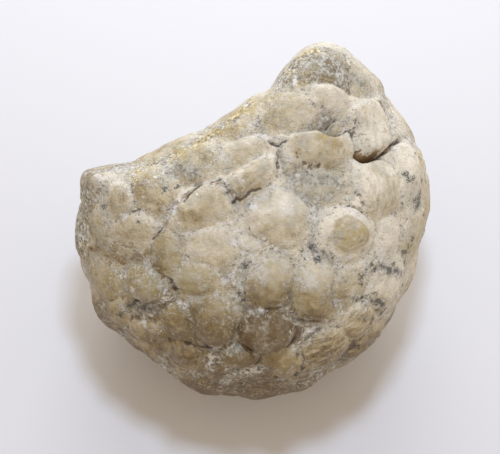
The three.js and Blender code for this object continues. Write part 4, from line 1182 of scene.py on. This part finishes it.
def stone_material():
    stone = NodeTree("calcite_and_matrix")
    field = stone.attribute
    spread = stone.spread
    mix = stone.mix
    place = stone.add("TexCoord", "Object", {})
    noises = [stone.noise(size * MM, detail, place) for size, detail in STONE_NOISES.values()]
    cloud, mottle, grit, dust, weave, mist = noises
    streak = stone.noise(STREAK_SIZE, 3, field("streak_place", "Vector"))
    striped = field("stripe")
    thread = field("thread")

    # Calcite from cream through tan to brown, clouded and streaked.
    tone = field("tone") + around_zero(cloud, 0.6) + around_zero(mottle, 0.6)
    tone += around_zero(streak, 1.0) * (striped * 1.4 + 0.3)
    tone += around_zero(grit, 1.0) * (thread + 0.25)
    calcite = stone.ramp(tone, [(0.0, CREAM), (0.3, SAND), (0.55, TAN), (0.8, UMBER), (1.0, BROWN)])
    olive = spread(field("olive") + around_zero(cloud, 1.4), 0, 1) * spread(tone, 0.0, 0.5)
    colour = mix(olive * 0.5, calcite, OLIVE)

    # Clouds of grey in the calcite, grey matrix, ochre stains, and veils of white with painted highlights.
    colour = mix(spread(mist, 0.46, 0.62) * field("haze"), colour, HAZE)
    grey_stone = mix(spread(mottle + around_zero(grit, 1.0), 0.62, 0.38), PALE_GREY, BLUE_GREY)
    grey = spread(field("grey") + around_zero(mottle, 1.4), 0.1, 1.0)
    colour = mix(grey * 0.8, colour, grey_stone)
    ochre = spread(field("ochre") + around_zero(grit, 1.8), 0.15, 0.9)
    colour = mix(ochre * 0.6, colour, OCHRE)
    clump = around_zero(cloud, 1.4) + around_zero(mottle, 1.2) + around_zero(grit, 0.7)
    veil_and_highlight = spread(field("veil_and_highlight") + clump, 0.0, 1.15)
    colour = mix(veil_and_highlight * 0.75, colour, VEIL_AND_HIGHLIGHT)

    # Loose grains, pores, hairlines, and flecks that are partly painted glints.
    grain_tint = mottle * 0.25 + grit * 0.75
    plain_grains = stone.ramp(grain_tint, grain_stops(GREY_GRAIN, PALE_GRAIN))
    stained_grains = stone.ramp(grain_tint, grain_stops(OCHRE, YELLOW_FLECK_AND_GLINT))
    grains = spread(field("grains") + around_zero(mottle, 1.6), 0.1, 1.0)
    colour = mix(grains * 0.8, colour, mix(ochre, plain_grains, stained_grains))
    pores = spread(grit, 0.42, 0.32) * thread
    colour = mix(pores * 0.7, colour, PORE)
    hairlines = stone.near(weave, 0.4, 0.03) * spread(cloud, 0.45, 0.6)
    colour = mix(hairlines * 0.45, colour, PORE)
    # Pale flecks, partly painted glints on the calcite.
    flecks_and_glints = spread(dust, 0.58, 0.66) * spread(weave, 0.4, 0.55) * thread
    colour = mix(flecks_and_glints, colour, YELLOW_FLECK_AND_GLINT)

    # White crusts with some painted glints, threads and frosting.
    crust_and_glint = field("crust_and_glint") + around_zero(mottle, 0.8) + around_zero(grit, 1.4)
    threads = stone.near(weave, 0.5, 0.04) * spread(mottle, 0.45, 0.6) * 0.6
    strokes = spread(streak, 0.58, 0.68) * spread(grit, 0.4, 0.6)
    threads = stone.larger(threads, strokes) * thread
    frosting = spread(grit, 0.52, 0.64) * spread(cloud, 0.4, 0.6) * (thread + 0.2)
    white = stone.larger(stone.larger(spread(crust_and_glint, 0.3, 1.2), threads * 0.8), frosting * 0.5)
    colour = mix(white * 0.8, colour, WHITE)

    # The amber lip and rust, dark specks, and soil with painted shade in the cracks, darkest in the
    # deepest.
    amber_noise = around_zero(grit, 1.6) + around_zero(mottle, 1.6)
    amber = field("amber") + spread(field("amber"), 0.0, 0.3) * amber_noise
    colour = mix(spread(amber, 0.25, 0.75) * 0.9, colour, AMBER)
    speck_noise = around_zero(grit, 1.5) + around_zero(dust, 2.5)
    speck = spread(field("speck") + speck_noise, 0.35, 0.85) * spread(field("speck"), 0.05, 0.3)
    colour = mix(speck * 0.8, colour, DARK_SPECK)
    soil_and_shade = spread(field("soil_and_shade") + around_zero(grit, 2.2) + around_zero(mottle, 1.2), 0.4, 1.1)
    # Painted shade: the deepest cracks are painted nearly black.
    soil_and_shade_colour = mix(spread(field("soil_and_shade"), 0.9, 1.5), SOIL_WITH_SHADE, DEEP_SOIL_WITH_SHADE)
    colour = mix(soil_and_shade * 0.8, colour, soil_and_shade_colour)

    # Calcite is waxy, grains and crusts are dull.
    roughness = stone.larger(grains, white) * 0.25 + around_zero(mottle, 0.6) + 0.5
    relief = mottle * 0.4 + grit * (thread * 0.4 + 0.2) + dust * 0.2 + striped * (streak * 0.8)
    bump = {"Strength": BUMP_STRENGTH, "Distance": BUMP_HEIGHT, "Height": relief}
    return stone.shade({
        "Base Color": colour,
        "Roughness": roughness,
        "Normal": stone.add("Bump", "Normal", bump),
        "IOR": CALCITE_IOR,
        "Subsurface Weight": GLOW_SHARE,
        "Subsurface Radius": GLOW_REACH,
        "Subsurface Scale": GLOW_SCALE,
    })


# --- The studio ---

PICTURE_SCALE = 8.5  # picture pixels to a millimetre of the display face
PICTURE_WIDTH = 500
FACE_ORIGIN_IN_PICTURE = (255, 235)  # where the middle of the fossil is, in picture pixels
PICTURE_MIDDLE = (250, 227)
SENSOR_WIDTH = 36
CLIP_START = 0.01  # metres

FLOOR_COLOUR = linear(220, 221, 224)
FLOOR_ROUGHNESS = 0.8
FLOOR_HALF = 1.5  # metres
FLOOR_CORNERS = [(-1, -1), (1, -1), (1, 1), (-1, 1)]

SKY_COLOUR = (1.0, 0.84, 0.68, 1)
SKY_STRENGTH = 0.66

# The lights: place and aim in metres, size in metres, power in watts and colour.
LIGHTS = {
    "overhead": ((0.015, 0.055, 0.36), (0, 0, 0.02), 0.05, 0.62, (0.63, 0.765, 1.0)),
    "behind": ((0, 0.16, 0.06), (0, 0, 0), 0.1, 0.19, (0.86, 0.91, 1.0)),
    "beside": ((0.22, 0.02, 0.08), (0, 0, 0.01), 0.12, 0.04, (1.0, 0.96, 0.9)),
}


def make_floor():
    mesh = bpy.data.meshes.new("floor")
    corners = [(x * FLOOR_HALF, y * FLOOR_HALF, 0) for x, y in FLOOR_CORNERS]
    mesh.from_pydata(corners, [], [(0, 1, 2, 3)])
    board = {"Base Color": FLOOR_COLOUR, "Roughness": FLOOR_ROUGHNESS}
    mesh.materials.append(NodeTree("pale_board").shade(board))
    floor = add_object("floor", mesh)


def make_camera(shift):
    """A camera that looks straight at the display face, from as far as a close-up is taken."""
    off_x = (PICTURE_MIDDLE[0] - FACE_ORIGIN_IN_PICTURE[0]) / PICTURE_SCALE
    off_y = (FACE_ORIGIN_IN_PICTURE[1] - PICTURE_MIDDLE[1]) / PICTURE_SCALE
    target = (to_world(np.array([[off_x, off_y, 0]]))[0] + shift) * MM
    towards = to_world(np.array([[0, 0, 1]]))[0]
    data = bpy.data.cameras.new("camera")
    data.sensor_width = SENSOR_WIDTH
    data.lens = SENSOR_WIDTH * VIEW_DISTANCE * PICTURE_SCALE / PICTURE_WIDTH
    data.clip_start = CLIP_START
    camera = add_object("camera", data)
    camera.location = target + towards * VIEW_DISTANCE * MM
    camera.rotation_euler = (FACE_LEAN, 0, 0)
    bpy.context.scene.camera = camera


def make_lights():
    world = bpy.data.worlds.new("studio")
    world.use_nodes = True
    sky = world.node_tree.nodes["Background"].inputs
    sky["Color"].default_value = SKY_COLOUR
    sky["Strength"].default_value = SKY_STRENGTH
    bpy.context.scene.world = world
    for name, (place, aim, size, power, colour) in LIGHTS.items():
        data = bpy.data.lights.new(name, "AREA")
        data.size = size
        data.energy = power
        data.color = colour
        light = add_object(name, data)
        light.location = place
        light.rotation_euler = (Vector(aim) - Vector(place)).to_track_quat("-Z", "Y").to_euler()


# --- The scene ---

calyx, calyx_shift = build_calyx()
calyx.data.materials.append(stone_material())
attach(calyx, "root")
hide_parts(NODE)

make_floor()
make_camera(calyx_shift)
make_lights()
bpy.context.scene.view_settings.view_transform = "Standard"
